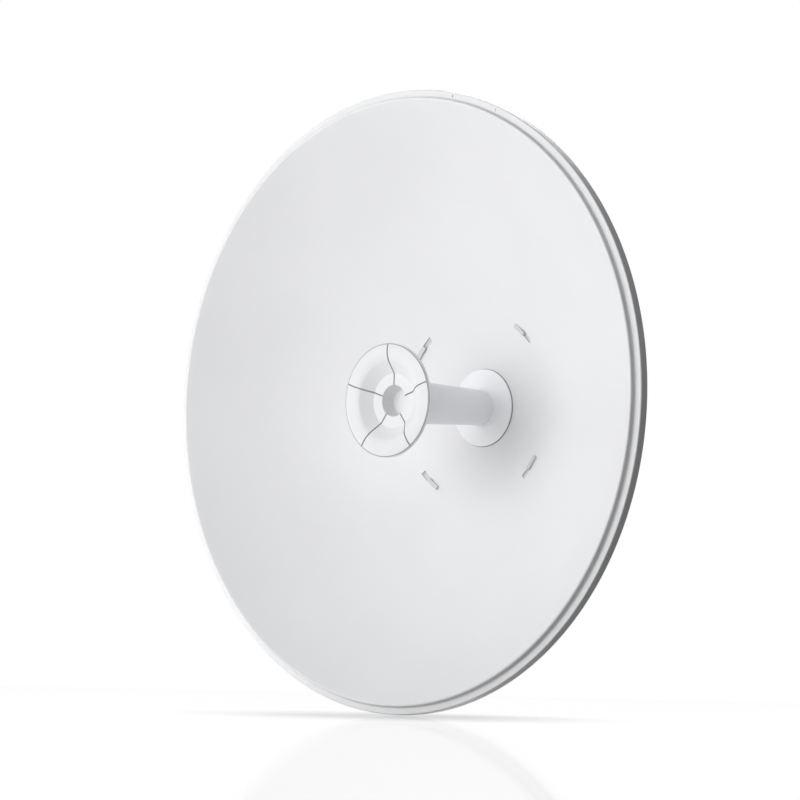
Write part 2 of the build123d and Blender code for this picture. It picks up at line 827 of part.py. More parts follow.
with BuildPart() as feed_collar:
    with BuildSketch():
        with BuildLine():
            boss_y = collar_front_y - collar_dome
            boss_front_y = boss_y - collar_boss_height
            boss_lip_radius = tube_radius(boss_front_y) + collar_boss_lip
            Polyline(
                (tube_radius(tube_root_y), tube_root_y),
                (tube_radius(boss_front_y), boss_front_y),
                (boss_lip_radius, boss_front_y),
            )
            flare = collar_boss_radius - boss_lip_radius
            ThreePointArc(
                (boss_lip_radius, boss_front_y),
                (boss_lip_radius + flare * 0.29, boss_y - collar_boss_height * 0.29),
                (collar_boss_radius, boss_y),
            )
            ThreePointArc(
                (collar_boss_radius, boss_y),
                ((collar_boss_radius + collar_radius) / 2, collar_front_y - collar_dome * 0.75),
                (collar_radius, collar_front_y),
            )
            Polyline(
                (collar_radius, collar_front_y),
                (collar_radius, collar_back_y),
                (case_inner_radius - cap_gap, collar_back_y),
                (case_inner_radius - cap_gap, collar_back_y + collar_spigot_length),
                (case_inner_radius - case_wall, collar_back_y + collar_spigot_length),
                (case_inner_radius - case_wall, tube_root_y),
                (tube_radius(tube_root_y), tube_root_y),
            )
        make_face()
    revolve(axis=Axis.Y)
save(feed_collar, "feed_collar")

with BuildPart() as collar_gasket:
    with BuildSketch():
        with BuildLine():
            gasket_inner = dish_hole_radius + cap_gap
            gasket_outer = collar_radius + gasket_stand_out
            Polyline(
                (gasket_inner, collar_back_y),
                (gasket_outer, collar_back_y),
                (gasket_outer, bowl_y(gasket_outer) - cap_gap),
                (gasket_inner, bowl_y(gasket_inner) - cap_gap),
                close=True,
            )
        make_face()
    revolve(axis=Axis.Y)
save(collar_gasket, "collar_gasket")

with BuildPart() as feed_tube:
    with BuildSketch():
        with BuildLine():
            Polyline(
                (tube_root_radius, tube_root_y),
                (tube_head_radius, tube_head_y),
                (tube_head_radius - tube_wall, tube_head_y),
                (tube_root_radius - tube_wall, tube_root_y),
                close=True,
            )
        make_face()
    revolve(axis=Axis.Y)
save(feed_tube, "feed_tube")

# ======================= sub-reflector and its cap =======================
with BuildPart() as sub_reflector:
    with BuildSketch():
        with BuildLine():
            FilletPolyline(
                (tube_head_radius, disc_y + disc_funnel_depth),
                (disc_funnel_radius, disc_y + disc_funnel_depth),
                (disc_shoulder_radius, disc_y),
                (disc_radius, disc_y),
                radius=disc_sheet * 1.5,
            )
            offset(amount=disc_sheet, side=Side.LEFT)
        make_face()
    revolve(axis=Axis.Y)
save(sub_reflector, "sub_reflector")

cap_radius = disc_radius - cap_edge_inset
cap_ring_y = disc_y + disc_funnel_depth - cap_gap - cap_thickness
cap_floor_y = cap_ring_y + cap_hollow_depth
cap_back_y = disc_y
cap_crown_y = cap_back_y - cap_crown
funnel_top_radius = disc_funnel_radius + (disc_shoulder_radius - disc_funnel_radius) * 0.57

with BuildLine() as cap_front:
    FilletPolyline(
        (0, cap_floor_y),
        (cap_hollow_radius - cap_hollow_taper, cap_floor_y),
        (cap_hollow_radius, cap_ring_y),
        (disc_funnel_radius, cap_ring_y),
        (funnel_top_radius, cap_back_y),
        radius=(1.5, 0.8, 1.5),
    )
    ThreePointArc(
        (funnel_top_radius, cap_back_y),
        ((funnel_top_radius + cap_radius) / 2, cap_crown_y),
        (cap_radius, cap_back_y - cap_crown * 0.5),
    )

with BuildPart() as sub_reflector_cap:
    with BuildSketch():
        with BuildLine():
            add(cap_front.line)
            Polyline(
                (cap_radius, cap_back_y - cap_crown * 0.5),
                (cap_radius, cap_back_y),
                (disc_shoulder_radius, cap_back_y),
                (disc_funnel_radius, cap_ring_y + cap_thickness),
                (cap_hollow_radius + cap_thickness, cap_ring_y + cap_thickness),
                (cap_hollow_radius - cap_hollow_taper + cap_thickness, cap_floor_y + cap_thickness),
                (0, cap_floor_y + cap_thickness),
                (0, cap_floor_y),
            )
        make_face()
    revolve(axis=Axis.Y)
    for i in range(channel_count):
        with BuildSketch(radial_plane(i * 360 / channel_count)):
            with BuildLine():
                with Locations((0, channel_depth)):
                    add(cap_front.line)
                Polyline(
                    (0, cap_floor_y + channel_depth),
                    (0, cap_crown_y - cap_crown),
                    (cap_radius, cap_crown_y - cap_crown),
                    (cap_radius, cap_back_y - cap_crown * 0.5 + channel_depth),
                )
            make_face()
            with Locations((cap_hollow_radius / 2, cap_floor_y)):
                Rectangle(cap_hollow_radius, 4 * cap_hollow_depth, mode=Mode.SUBTRACT)
            with Locations((cap_radius, cap_back_y)):
                Rectangle(2 * cap_edge_inset, 4 * cap_crown, mode=Mode.SUBTRACT)
        extrude(amount=channel_width / 2, both=True, mode=Mode.SUBTRACT)
save(sub_reflector_cap, "sub_reflector_cap")

# ======================= radio case =======================
seat_z = case_radius - plunger_seat_depth
reset_foot_z = -((case_radius**2 - (reset_offset_x + reset_radius) ** 2) ** 0.5)
port_board_top_z = -(board_thickness / 2 + port_board_drop)
port_board_under_z = port_board_top_z - board_thickness
jack_foot_z = -((case_radius**2 - (abs(jack_offset_x) + jack_width / 2) ** 2) ** 0.5)

with BuildPart() as radio_case:
    with BuildSketch(Plane.XZ.offset(-case_front_y)):
        Circle(case_radius)
        Circle(case_inner_radius, mode=Mode.SUBTRACT)
    extrude(amount=-(case_rear_y - case_front_y))
    with BuildSketch(Plane.XY.offset(seat_z - case_wall)):
        with Locations((0, tower_y)):
            Circle(plunger_radius * 2)
    extrude(amount=case_wall + plunger_seat_depth / 2)
    with BuildSketch(Plane.XZ.offset(-case_front_y - collar_spigot_length - 1)):
        for side in (-1, 1):
            with Locations((side * (board_width / 2 + case_inner_radius) / 2, -board_thickness / 2)):
                Rectangle(
                    case_inner_radius - board_width / 2 + 3, board_rail_height,
                    align=(Align.CENTER, Align.MAX),
                )
        Circle(case_radius - case_wall / 2, mode=Mode.INTERSECT)
    extrude(amount=-board_case_length)
    with BuildSketch(Plane.XY.offset(seat_z - hub_fit / 2)):
        with Locations((0, tower_y)):
            Circle(plunger_radius + hub_fit)
    extrude(amount=case_radius, mode=Mode.SUBTRACT)
    with BuildSketch(Plane.XY.offset(-case_radius)):
        with Locations((jack_offset_x, port_y)):
            Rectangle(jack_width + hub_fit, jack_length + hub_fit)
        with Locations((reset_offset_x, port_y)):
            Circle(reset_radius + running_clearance)
    extrude(amount=case_radius / 2, mode=Mode.SUBTRACT)
    with BuildSketch(Plane.XZ.offset(-(plate_front_y + case_seal_offset_y))):
        Circle(case_radius + 1)
        Circle(case_radius - 2 * case_seal_section + hub_fit, mode=Mode.SUBTRACT)
    extrude(amount=case_seal_section + cap_gap, both=True, mode=Mode.SUBTRACT)
save(radio_case, "radio_case")

with BuildPart() as case_seal:
    seal_radius = hub_inner_radius - case_seal_section
    with BuildSketch():
        with Locations((seal_radius, plate_front_y + case_seal_offset_y)):
            Circle(case_seal_section)
    revolve(axis=Axis.Y)
save(case_seal, "case_seal")

lamp_z = port_board_under_z - lamp_radius
lamp_row = [(i - (lamp_count - 1) / 2) * lamp_pitch for i in range(lamp_count)]
with BuildPart() as case_lid:
    with BuildSketch(Plane.XZ.offset(-case_rear_y)):
        Circle(case_radius)
        with Locations(*[(x, lamp_z) for x in lamp_row]):
            Circle(lamp_radius + running_clearance, mode=Mode.SUBTRACT)
    extrude(amount=-case_lid_thickness)
    with BuildSketch(Plane.XZ.offset(-case_rear_y)):
        Circle(case_inner_radius - cap_gap)
        Circle(case_inner_radius - case_wall, mode=Mode.SUBTRACT)
    extrude(amount=2)
save(case_lid, "case_lid")

# ======================= hub housing =======================
hinge_y = port_y - port_bay_length / 2 - door_barrel_radius - door_gap
hinge_z = bay_rim_z + door_gap
tower_top_z = hub_radius + tower_height
lug_offset_x = door_barrel_length / 2 + door_gap + door_lug_length / 2

with BuildPart() as hub_housing:
    with BuildSketch():
        with BuildLine():
            Polyline(
                (0, plate_front_y - hub_flange_thickness),
                (hub_flange_radius, plate_front_y - hub_flange_thickness),
                (hub_flange_radius, plate_front_y),
                (hub_radius, plate_front_y),
                (hub_radius, hub_rear_y),
                (0, hub_rear_y),
                close=True,
            )
        make_face()
    revolve(axis=Axis.Y)
    fillet(hub_housing.faces().sort_by(Axis.Y)[-1].edges(), hub_edge_round)
    with BuildSketch(Plane.XY.offset(bay_rim_z)):
        with Locations((0, port_y)):
            RectangleRounded(port_bay_width, port_bay_length, port_bay_wall)
    extrude(amount=hub_radius - port_bay_drop)
    with BuildSketch(Plane.XY.offset(hub_inner_radius / 2)):
        with Locations((0, tower_y)):
            Circle(tower_radius)
    extrude(amount=tower_top_z - hub_inner_radius / 2)
    with BuildSketch(Plane.YZ):
        with Locations((hinge_y, hinge_z)):
            Circle(door_barrel_radius)
            Rectangle(
                port_y - port_bay_length / 2 + port_bay_wall / 2 - hinge_y, door_barrel_radius,
                align=(Align.MIN, Align.MIN),
            )
    extrude(amount=lug_offset_x + door_lug_length / 2, both=True)
    with BuildSketch(Plane.YZ):
        with Locations((hinge_y, hinge_z)):
            Rectangle(2 * door_barrel_radius + 2 * door_gap, 3 * door_barrel_radius)
    extrude(amount=lug_offset_x - door_lug_length / 2, both=True, mode=Mode.SUBTRACT)
    with BuildSketch(Plane.YZ):
        with Locations((hinge_y, hinge_z)):
            Circle(door_pin_diameter / 2)
    extrude(amount=lug_offset_x + door_lug_length, both=True, mode=Mode.SUBTRACT)
    with BuildSketch(Plane.XZ.offset(-(plate_front_y - hub_flange_thickness))):
        Circle(hub_inner_radius)
    extrude(amount=-(hub_depth + hub_flange_thickness - hub_wall), mode=Mode.SUBTRACT)
    with BuildSketch(Plane.XY.offset(bay_rim_z)):
        with Locations((0, port_y)):
            Rectangle(port_bay_width - 2 * port_bay_wall, port_bay_length - 2 * port_bay_wall)
    extrude(amount=hub_radius, mode=Mode.SUBTRACT)
    with BuildSketch(Plane.XY.offset(hub_inner_radius / 2)):
        with Locations((0, tower_y)):
            Circle(tower_radius - tower_wall)
    extrude(amount=tower_top_z - tower_wall - hub_inner_radius / 2, mode=Mode.SUBTRACT)
    with BuildSketch(Plane.XY.offset(hub_radius)):
        with Locations((0, tower_y)):
            Circle(plunger_radius + running_clearance)
    extrude(amount=tower_height, mode=Mode.SUBTRACT)
    with BuildSketch(Plane.XZ.offset(-plate_front_y)):
        with hub_screw_ring:
            Circle(hub_screw_diameter / 2)
    extrude(amount=hub_flange_thickness, mode=Mode.SUBTRACT)
    with BuildSketch(Plane.XZ.offset(-hub_rear_y)):
        with Locations(*[(x, lamp_z) for x in lamp_row]):
            Circle(lamp_radius)
    extrude(amount=hub_wall, mode=Mode.SUBTRACT)
save(hub_housing, "hub_housing")

forwards_at_flange = Plane(
    origin=(0, plate_front_y - hub_flange_thickness, 0), x_dir=(1, 0, 0), z_dir=(0, -1, 0)
)
with BuildPart() as hub_screws:
    with laid_on(forwards_at_flange, hub_screw_ring):
        add(
            pan_screw(
                hub_screw_diameter, hub_screw_head_diameter, hub_screw_head_height,
                hub_flange_thickness + plate_sheet,
            )
        )
save(hub_screws, "hub_screws")

# ======================= release plunger =======================
plunger_flange_z = hub_inner_radius + plunger_seat_depth / 2
plunger_knob_z = tower_top_z + hub_fit
with BuildPart() as release_plunger:
    with BuildSketch(Plane(origin=(0, tower_y, 0), x_dir=(1, 0, 0), z_dir=(0, -1, 0))):
        with BuildLine():
            Polyline(
                (0, seat_z),
                (plunger_radius - 0.5, seat_z),
                (plunger_radius, seat_z + 0.5),
                (plunger_radius, plunger_flange_z),
                (plunger_flange_radius, plunger_flange_z),
                (plunger_flange_radius, plunger_flange_z + plunger_flange_thickness),
                (plunger_radius, plunger_flange_z + plunger_flange_thickness),
                (plunger_radius, plunger_knob_z),
                (plunger_knob_radius * 0.8, plunger_knob_z),
                (plunger_knob_radius, plunger_knob_z + plunger_knob_height * 0.55),
                (plunger_knob_radius, plunger_knob_z + plunger_knob_height * 0.85),
                (plunger_knob_radius * 0.85, plunger_knob_z + plunger_knob_height),
                (0, plunger_knob_z + plunger_knob_height),
                close=True,
            )
        make_face()
    revolve(axis=Axis((0, tower_y, 0), (0, 0, 1)))
save(release_plunger, "release_plunger")

spring_foot_z = plunger_flange_z + plunger_flange_thickness + spring_wire / 2 + running_clearance
spring_head_z = tower_top_z - tower_wall - spring_wire / 2 - running_clearance
with BuildPart() as release_spring:
    with BuildLine() as coil:
        Helix(
            (spring_head_z - spring_foot_z) / spring_turns, spring_head_z - spring_foot_z,
            spring_radius, center=(0, tower_y, spring_foot_z),
        )
    with BuildSketch(Plane(origin=coil.line @ 0, z_dir=coil.line % 0)):
        Circle(spring_wire / 2)
    sweep()
save(release_spring, "release_spring")

# ======================= port door =======================
door_top_z = bay_rim_z - door_gap
door_front_y = hinge_y + door_barrel_radius + door_gap
door_rear_y = port_y + port_bay_length / 2
with BuildPart() as port_door:
    with BuildSketch(Plane.XY.offset(door_top_z)):
        with Locations((0, door_rear_y)):
            Rectangle(port_bay_width, door_rear_y - door_front_y, align=(Align.CENTER, Align.MAX))
        with Locations((0, door_front_y)):
            Rectangle(door_barrel_length, door_front_y - hinge_y, align=(Align.CENTER, Align.MAX))
        with Locations((jack_offset_x, port_y)):
            Circle(cable_notch_radius, mode=Mode.SUBTRACT)
            Rectangle(
                2 * cable_notch_radius, port_bay_length, align=(Align.CENTER, Align.MIN),
                mode=Mode.SUBTRACT,
            )
    extrude(amount=-door_thickness)
    with BuildSketch(Plane.YZ):
        with Locations((hinge_y, hinge_z)):
            Circle(door_barrel_radius)
    extrude(amount=door_barrel_length / 2, both=True)
    with BuildSketch(Plane.YZ):
        with Locations((hinge_y, hinge_z)):
            Circle(door_pin_diameter / 2 + running_clearance)
    extrude(amount=door_barrel_length, both=True, mode=Mode.SUBTRACT)
save(port_door, "port_door")

with BuildPart() as port_door_pin:
    with BuildSketch(Plane.YZ):
        with Locations((hinge_y, hinge_z)):
            Circle(door_pin_diameter / 2)
    extrude(amount=lug_offset_x + door_lug_length / 2, both=True)
save(port_door_pin, "port_door_pin")

with BuildPart() as cable_grommet:
    with BuildSketch(Plane.XY.offset(door_top_z)):
        with Locations((jack_offset_x, port_y)):
            Circle(cable_notch_radius)
            Rectangle(
                2 * cable_notch_radius, port_bay_length / 2, align=(Align.CENTER, Align.MIN)
            )
    extrude(amount=-door_thickness)
    for level, way in ((door_top_z, 1), (door_top_z - door_thickness, -1)):
        with BuildSketch(Plane.XY.offset(level)):
            with Locations((jack_offset_x, port_y)):
                Circle(grommet_flange_radius)
                Rectangle(
                    2 * grommet_flange_radius, port_bay_length / 2 - port_bay_wall - door_gap,
                    align=(Align.CENTER, Align.MIN),
                )
        extrude(amount=way * grommet_flange_thickness)
    with BuildSketch(Plane.XY.offset(door_top_z + grommet_flange_thickness)):
        with Locations((jack_offset_x, port_y)):
            Circle(cable_diameter / 2)
    extrude(amount=-2 * grommet_flange_thickness - door_thickness, mode=Mode.SUBTRACT)
save(cable_grommet, "cable_grommet")

# ======================= radio inside the case and tube =======================
board_top_z = board_thickness / 2
board_front_y = case_front_y + collar_spigot_length + 1
horn_front_y = tube_head_y + horn_mouth_gap
horn_rear_y = horn_front_y + horn_length

with BuildPart() as feed_horn:
    with BuildSketch():
        with BuildLine():
            horn_flange_radius = tube_radius(horn_rear_y) - tube_wall
            Polyline(
                (horn_radius - horn_wall, horn_front_y),
                (horn_radius, horn_front_y),
                (horn_radius, horn_rear_y - horn_wall),
                (horn_flange_radius, horn_rear_y - horn_wall),
                (horn_flange_radius, horn_rear_y),
                (0, horn_rear_y),
                (0, horn_rear_y - horn_wall),
                (horn_radius - horn_wall, horn_rear_y - horn_wall),
                close=True,
            )
        make_face()
    revolve(axis=Axis.Y)
save(feed_horn, "feed_horn")

with BuildPart() as radio_board:
    with BuildSketch(Plane.XY.offset(-board_thickness / 2)):
        with Locations((0, board_front_y)):
            Rectangle(board_width, board_case_length, align=(Align.CENTER, Align.MIN))
        with Locations((0, horn_rear_y)):
            Rectangle(
                board_tongue_width, board_front_y - horn_rear_y, align=(Align.CENTER, Align.MIN)
            )
    extrude(amount=board_thickness)
save(radio_board, "radio_board")

with BuildPart() as shield_cans:
    with BuildSketch(Plane.XY.offset(-board_thickness / 2)):
        with Locations((0, (horn_rear_y + board_front_y) / 2)):
            RectangleRounded(tongue_shield_width, tongue_shield_length, shield_corner)
        with Locations((0, board_front_y + case_shield_place)):
            RectangleRounded(case_shield_width, case_shield_length, shield_corner)
    extrude(amount=-shield_height)
save(shield_cans, "shield_cans")

sink_y = board_front_y + sink_length / 2 + sink_setback
with BuildPart() as thermal_pads:
    with BuildSketch(Plane.XY.offset(board_top_z)):
        with Locations((0, sink_y)):
            with GridLocations(0, sink_length / 2, 1, 2):
                Rectangle(sink_width * 0.6, sink_length * 0.4)
    extrude(amount=pad_thickness)
save(thermal_pads, "thermal_pads")

with BuildPart() as heat_sink:
    with BuildSketch(Plane.XY.offset(board_top_z + pad_thickness)):
        with Locations((0, sink_y)):
            Rectangle(sink_width, sink_length)
    extrude(amount=sink_base)
    fin_pitch = (sink_width - sink_fin_thickness) / (sink_fin_count - 1)
    with BuildSketch(Plane.XY.offset(board_top_z + pad_thickness + sink_base)):
        with Locations((0, sink_y)):
            with GridLocations(fin_pitch, 0, sink_fin_count, 1):
                Rectangle(sink_fin_thickness, sink_length)
    extrude(amount=sink_fin_height)
save(heat_sink, "heat_sink")

with BuildPart() as port_board:
    with BuildSketch(Plane.XY.offset(port_board_under_z)):
        with Locations((0, port_y)):
            Rectangle(port_board_width, port_board_length)
    extrude(amount=board_thickness)
save(port_board, "port_board")

with BuildPart() as board_connector:
    with BuildSketch(Plane.XY.offset(port_board_top_z)):
        with Locations((0, port_y - port_board_length / 4)):
            Rectangle(port_board_width * 0.45, 5)
    extrude(amount=port_board_drop)
save(board_connector, "board_connector")

with BuildPart() as ethernet_jack:
    with BuildSketch(Plane.XY.offset(jack_foot_z)):
        with Locations((jack_offset_x, port_y)):
            Rectangle(jack_width, jack_length)
    extrude(amount=port_board_under_z - jack_foot_z)
    with BuildSketch(Plane.XY.offset(jack_foot_z)):
        with Locations((jack_offset_x, port_y)):
            Rectangle(jack_mouth_width, jack_mouth_length)
            with Locations((0, jack_mouth_length / 2)):
                Rectangle(jack_mouth_width / 2, 3)
    extrude(amount=port_board_under_z - jack_foot_z - 2, mode=Mode.SUBTRACT)
save(ethernet_jack, "ethernet_jack")

switch_foot_z = port_board_under_z - reset_switch_height
switch_well = reset_travel * 1.75
with BuildPart() as reset_switch:
    with BuildSketch(Plane.XY.offset(switch_foot_z)):
        with Locations((reset_offset_x, port_y)):
            Rectangle(reset_switch_size, reset_switch_size)
    extrude(amount=reset_switch_height)
    with BuildSketch(Plane.XY.offset(switch_foot_z)):
        with Locations((reset_offset_x, port_y)):
            Circle(reset_radius + hub_fit / 2)
    extrude(amount=switch_well, mode=Mode.SUBTRACT)
save(reset_switch, "reset_switch")

with BuildPart() as reset_button:
    with BuildSketch(Plane.XY.offset(reset_foot_z)):
        with Locations((reset_offset_x, port_y)):
            Circle(reset_radius)
    extrude(amount=switch_foot_z + switch_well - reset_travel * 1.4 - reset_foot_z)
    with BuildSketch(Plane.XY.offset(reset_foot_z + case_wall + reset_radius)):
        with Locations((reset_offset_x, port_y)):
            Circle(reset_radius + 1)
    extrude(amount=1)
save(reset_button, "reset_button")

lamp_front_y = port_y + port_board_length / 2
with BuildPart() as status_lamps:
    with BuildSketch(Plane.XY.offset(port_board_under_z)):
        with Locations(*[(x, lamp_front_y) for x in lamp_row]):
            Rectangle(lamp_radius * 1.4, lamp_radius * 1.4, align=(Align.CENTER, Align.MAX))
    extrude(amount=-lamp_radius * 1.6)
save(status_lamps, "status_lamps")

with BuildPart() as light_pipes:
    with BuildSketch(Plane.XZ.offset(-(lamp_front_y + cap_gap))):
        with Locations(*[(x, lamp_z) for x in lamp_row]):
            Circle(lamp_radius)
    extrude(amount=-(hub_rear_y - lamp_front_y - cap_gap))
save(light_pipes, "light_pipes")

# ======================= spirit level and earth screw =======================
level_y = (web_front_y + web_rear_y) / 2
web_top_z = bracket_height / 2
level_top_z = web_top_z + level_height
vial_z = level_top_z - vial_radius * 0.7
with BuildPart() as level_body:
    with BuildSketch(Plane.XY.offset(web_top_z - level_grip)):
        with Locations((0, level_y)):
            RectangleRounded(level_length, level_width, 2)
    extrude(amount=level_height + level_grip)
    with BuildSketch(Plane.XY.offset(web_top_z - level_grip)):
        with Locations((0, level_y)):
            Rectangle(level_length + 2, bracket_sheet + running_clearance)
    extrude(amount=level_grip, mode=Mode.SUBTRACT)
    with BuildSketch(Plane.YZ):
        with Locations((level_y, vial_z)):
            Circle(vial_radius + running_clearance)
    extrude(amount=vial_length / 2 + running_clearance, both=True, mode=Mode.SUBTRACT)
save(level_body, "level_body")

with BuildPart() as level_vial:
    with BuildSketch(Plane.YZ):
        with Locations((level_y, vial_z)):
            Circle(vial_radius)
    extrude(amount=vial_length / 2, both=True)
    fillet(level_vial.edges().filter_by(GeomType.CIRCLE), vial_wall)
save(level_vial, "level_vial")

backwards_at_web_rear = Plane(
    origin=(earth_screw_x, tilt_web_rear_y, earth_screw_z), x_dir=(1, 0, 0), z_dir=(0, 1, 0)
)
with BuildPart() as star_washer:
    with BuildSketch(backwards_at_web_rear):
        Circle(star_washer_diameter / 2 - 1)
        with PolarLocations(star_washer_diameter / 2 - 1, star_tooth_count):
            Rectangle(2, 1.6)
        Circle(earth_screw_diameter / 2, mode=Mode.SUBTRACT)
    extrude(amount=star_washer_thickness)
save(star_washer, "star_washer")

with BuildPart() as earth_screw:
    with Locations(backwards_at_web_rear.offset(star_washer_thickness)):
        add(
            pan_screw(
                earth_screw_diameter, earth_screw_head_diameter, earth_screw_head_height,
                star_washer_thickness + bracket_sheet + plate_sheet,
            )
        )
save(earth_screw, "earth_screw")
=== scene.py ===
# %% [markdown]
# # An outdoor wireless bridge, dressed for the camera
# The object is a round parabolic dish that throws radio waves at a small disc on
# the end of a tube, with the radio plugged in behind it and a clamp for a pole.
# A CAD model already fixes where every part is. This lesson loads that model as a
# frame, then builds the surfaces the eye meets: most are worked out with numpy as
# a profile turned about the dish's axis, because that is how spun and moulded
# round parts are drawn, and it gives smooth highlights with few faces.

# %% Load the CAD frame
import json
import math

import bpy
import numpy as np
from mathutils import Matrix, Vector


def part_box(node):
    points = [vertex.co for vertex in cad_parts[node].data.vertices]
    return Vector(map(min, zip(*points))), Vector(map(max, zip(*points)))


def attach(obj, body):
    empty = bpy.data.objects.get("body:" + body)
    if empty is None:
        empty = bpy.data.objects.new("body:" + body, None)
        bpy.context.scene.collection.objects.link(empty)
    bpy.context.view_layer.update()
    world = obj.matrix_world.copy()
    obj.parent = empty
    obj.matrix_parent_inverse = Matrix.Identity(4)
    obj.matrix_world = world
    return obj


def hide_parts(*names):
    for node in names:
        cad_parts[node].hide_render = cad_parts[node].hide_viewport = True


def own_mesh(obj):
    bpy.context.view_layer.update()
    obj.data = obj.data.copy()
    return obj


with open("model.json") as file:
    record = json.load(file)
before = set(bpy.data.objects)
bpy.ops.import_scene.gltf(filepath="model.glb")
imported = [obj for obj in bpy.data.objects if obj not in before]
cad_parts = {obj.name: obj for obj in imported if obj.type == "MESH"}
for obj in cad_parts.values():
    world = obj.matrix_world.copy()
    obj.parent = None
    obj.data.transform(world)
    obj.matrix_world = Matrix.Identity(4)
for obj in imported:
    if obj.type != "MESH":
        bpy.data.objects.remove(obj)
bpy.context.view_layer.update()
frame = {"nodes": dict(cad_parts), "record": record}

print("CAD nodes:", len(frame["nodes"]))

# %% [markdown]
# ## Sizes that the surfaces share
# A dish is a paraboloid: its depth grows with the square of the radius, divided by
# four times the focal length. Those two numbers place nearly everything on the
# front. The rest is read from the CAD boxes, so the new surfaces land on the old.

# %% The dish's own numbers
mm = 0.001
focal_length = 184 * mm
bowl_bottom = -145 * mm
sheet_thickness = 1.2 * mm
rim_radius = 324.4 * mm
dish_low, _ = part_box("reflector_dish")
lip_front = dish_low.y


def bowl(radius):
    """Y of the reflecting face: bowl_bottom less the radius squared over four focal lengths."""
    return bowl_bottom - np.square(radius) / (4 * focal_length)


print("lip at y =", round(lip_front * 1000, 2), "mm; bowl at r = 100 mm:", bowl(0.1))

# %% [markdown]
# ## Camera
# The camera stands low, in front and to the right, far away with a long lens. A
# long lens keeps the round rim close to a true ellipse. The view axes are built as
# three vectors (right, up, backwards), which is clearer than juggling angles.

# %% Long-lens camera
yaw, pitch, roll = math.radians(43.12), math.radians(-3.2), math.radians(1.22)
camera_distance = 5.3
aim = Vector((0, lip_front, 0))
forward = Vector(
    (-math.sin(yaw) * math.cos(pitch), math.cos(yaw) * math.cos(pitch), -math.sin(pitch))
)
level_right = Vector((math.cos(yaw), math.sin(yaw), 0))
level_up = level_right.cross(forward)
right = level_right * math.cos(roll) + level_up * math.sin(roll)
up = level_up * math.cos(roll) - level_right * math.sin(roll)

scene = bpy.context.scene
camera_data = bpy.data.cameras.new("long_lens")
camera_data.sensor_width = 36
camera_data.lens = 230.15
camera_data.shift_x = 0.00175
camera_data.shift_y = 0.00138
camera_data.clip_end = 100
camera = bpy.data.objects.new("camera", camera_data)
scene.collection.objects.link(camera)
place = Matrix((right, up, -forward)).transposed().to_4x4()
place.translation = aim - forward * camera_distance
camera.matrix_world = place
scene.camera = camera
print("camera height:", round(place.translation.z, 3))

# %% [markdown]
# ## Small helpers for node trees
# The world, the floor and the finishes all need the same few nodes: an operation on
# numbers, a distance along a direction, a number moved to another range, and two
# shaders mixed. Each is a short function here. The last helper tells apart the rays
# that show a surface from the rays that light one, which is what lets a backdrop look
# white without throwing that white onto the object.

# %% Helpers: numbers, ramps and mixes
def operate(tree, operation, *sources):
    """The result of a Math node that does one operation on the given sockets."""
    node = tree.nodes.new("ShaderNodeMath")
    node.operation = operation
    for socket, source in zip(node.inputs, sources):
        tree.links.new(source, socket)
    return node.outputs[0]


def along(tree, source, way):
    """How far a point or a direction reaches along the given way: their dot product."""
    node = tree.nodes.new("ShaderNodeVectorMath")
    node.operation = "DOT_PRODUCT"
    node.inputs[1].default_value = way
    tree.links.new(source, node.inputs[0])
    return node.outputs["Value"]


def ramp(tree, measure, near, far, start=0.0, end=1.0, smooth=False):
    """A number that goes from start to end as the measure goes from near to far."""
    node = tree.nodes.new("ShaderNodeMapRange")
    node.interpolation_type = "SMOOTHSTEP" if smooth else "LINEAR"
    for socket, value in zip(("From Min", "From Max", "To Min", "To Max"), (near, far, start, end)):
        node.inputs[socket].default_value = value
    tree.links.new(measure, node.inputs["Value"])
    return node.outputs["Result"]


def mix_shaders(tree, share, first, second):
    """The first shader where share is 0 and the second where it is 1; share is a number or a socket."""
    node = tree.nodes.new("ShaderNodeMixShader")
    if isinstance(share, float):
        node.inputs[0].default_value = share
    else:
        tree.links.new(share, node.inputs[0])
    tree.links.new(first, node.inputs[1])
    tree.links.new(second, node.inputs[2])
    return node.outputs[0]


def shows_backdrop(tree):
    """1 for camera, glossy and transmission rays, and 0 for rays that light a matt surface."""
    rays = tree.nodes.new("ShaderNodeLightPath").outputs
    indirect = operate(tree, "MAXIMUM", rays["Is Glossy Ray"], rays["Is Transmission Ray"])
    return operate(tree, "MAXIMUM", rays["Is Camera Ray"], indirect)


# %% [markdown]
# ## Studio
# A white object on white needs a dark edge to stand out. One large soft lamp in front,
# a little to the left, lights the dish's face evenly. A weak one stands above, and one
# behind on the left lights the mount in views from the back. The world adds a fill that
# comes from the front left and fades to almost nothing on the right, as if black cards
# stood there, so the outer wall, which looks to the right, falls dark.

# %% World with a one-sided fill
scene.view_settings.view_transform = "Standard"
open_side = Vector((-0.42, -1.0, 0.0)).normalized()
fill_starts, fill_full = 0.25, 0.95
least_fill, most_fill = 0.03, 1.35

world = bpy.data.worlds.new("white_cove")
scene.world = world
world.use_nodes = True
sky = world.node_tree
sky.nodes.clear()
plain_white = sky.nodes.new("ShaderNodeBackground")
plain_white.inputs["Color"].default_value = (1, 1, 1, 1)
plain_white.inputs["Strength"].default_value = 1.0
fill = sky.nodes.new("ShaderNodeBackground")
fill.inputs["Color"].default_value = (0.97, 0.98, 1.0, 1)
direction = sky.nodes.new("ShaderNodeTexCoord")
towards_open = along(sky, direction.outputs["Generated"], open_side)
fill_strength = ramp(sky, towards_open, fill_starts, fill_full, least_fill, most_fill)
sky.links.new(fill_strength, fill.inputs["Strength"])
sky_out = sky.nodes.new("ShaderNodeOutputWorld")
sky_look = mix_shaders(sky, shows_backdrop(sky), fill.outputs[0], plain_white.outputs[0])
sky.links.new(sky_look, sky_out.inputs["Surface"])
print("fill comes from", [round(v, 2) for v in open_side])


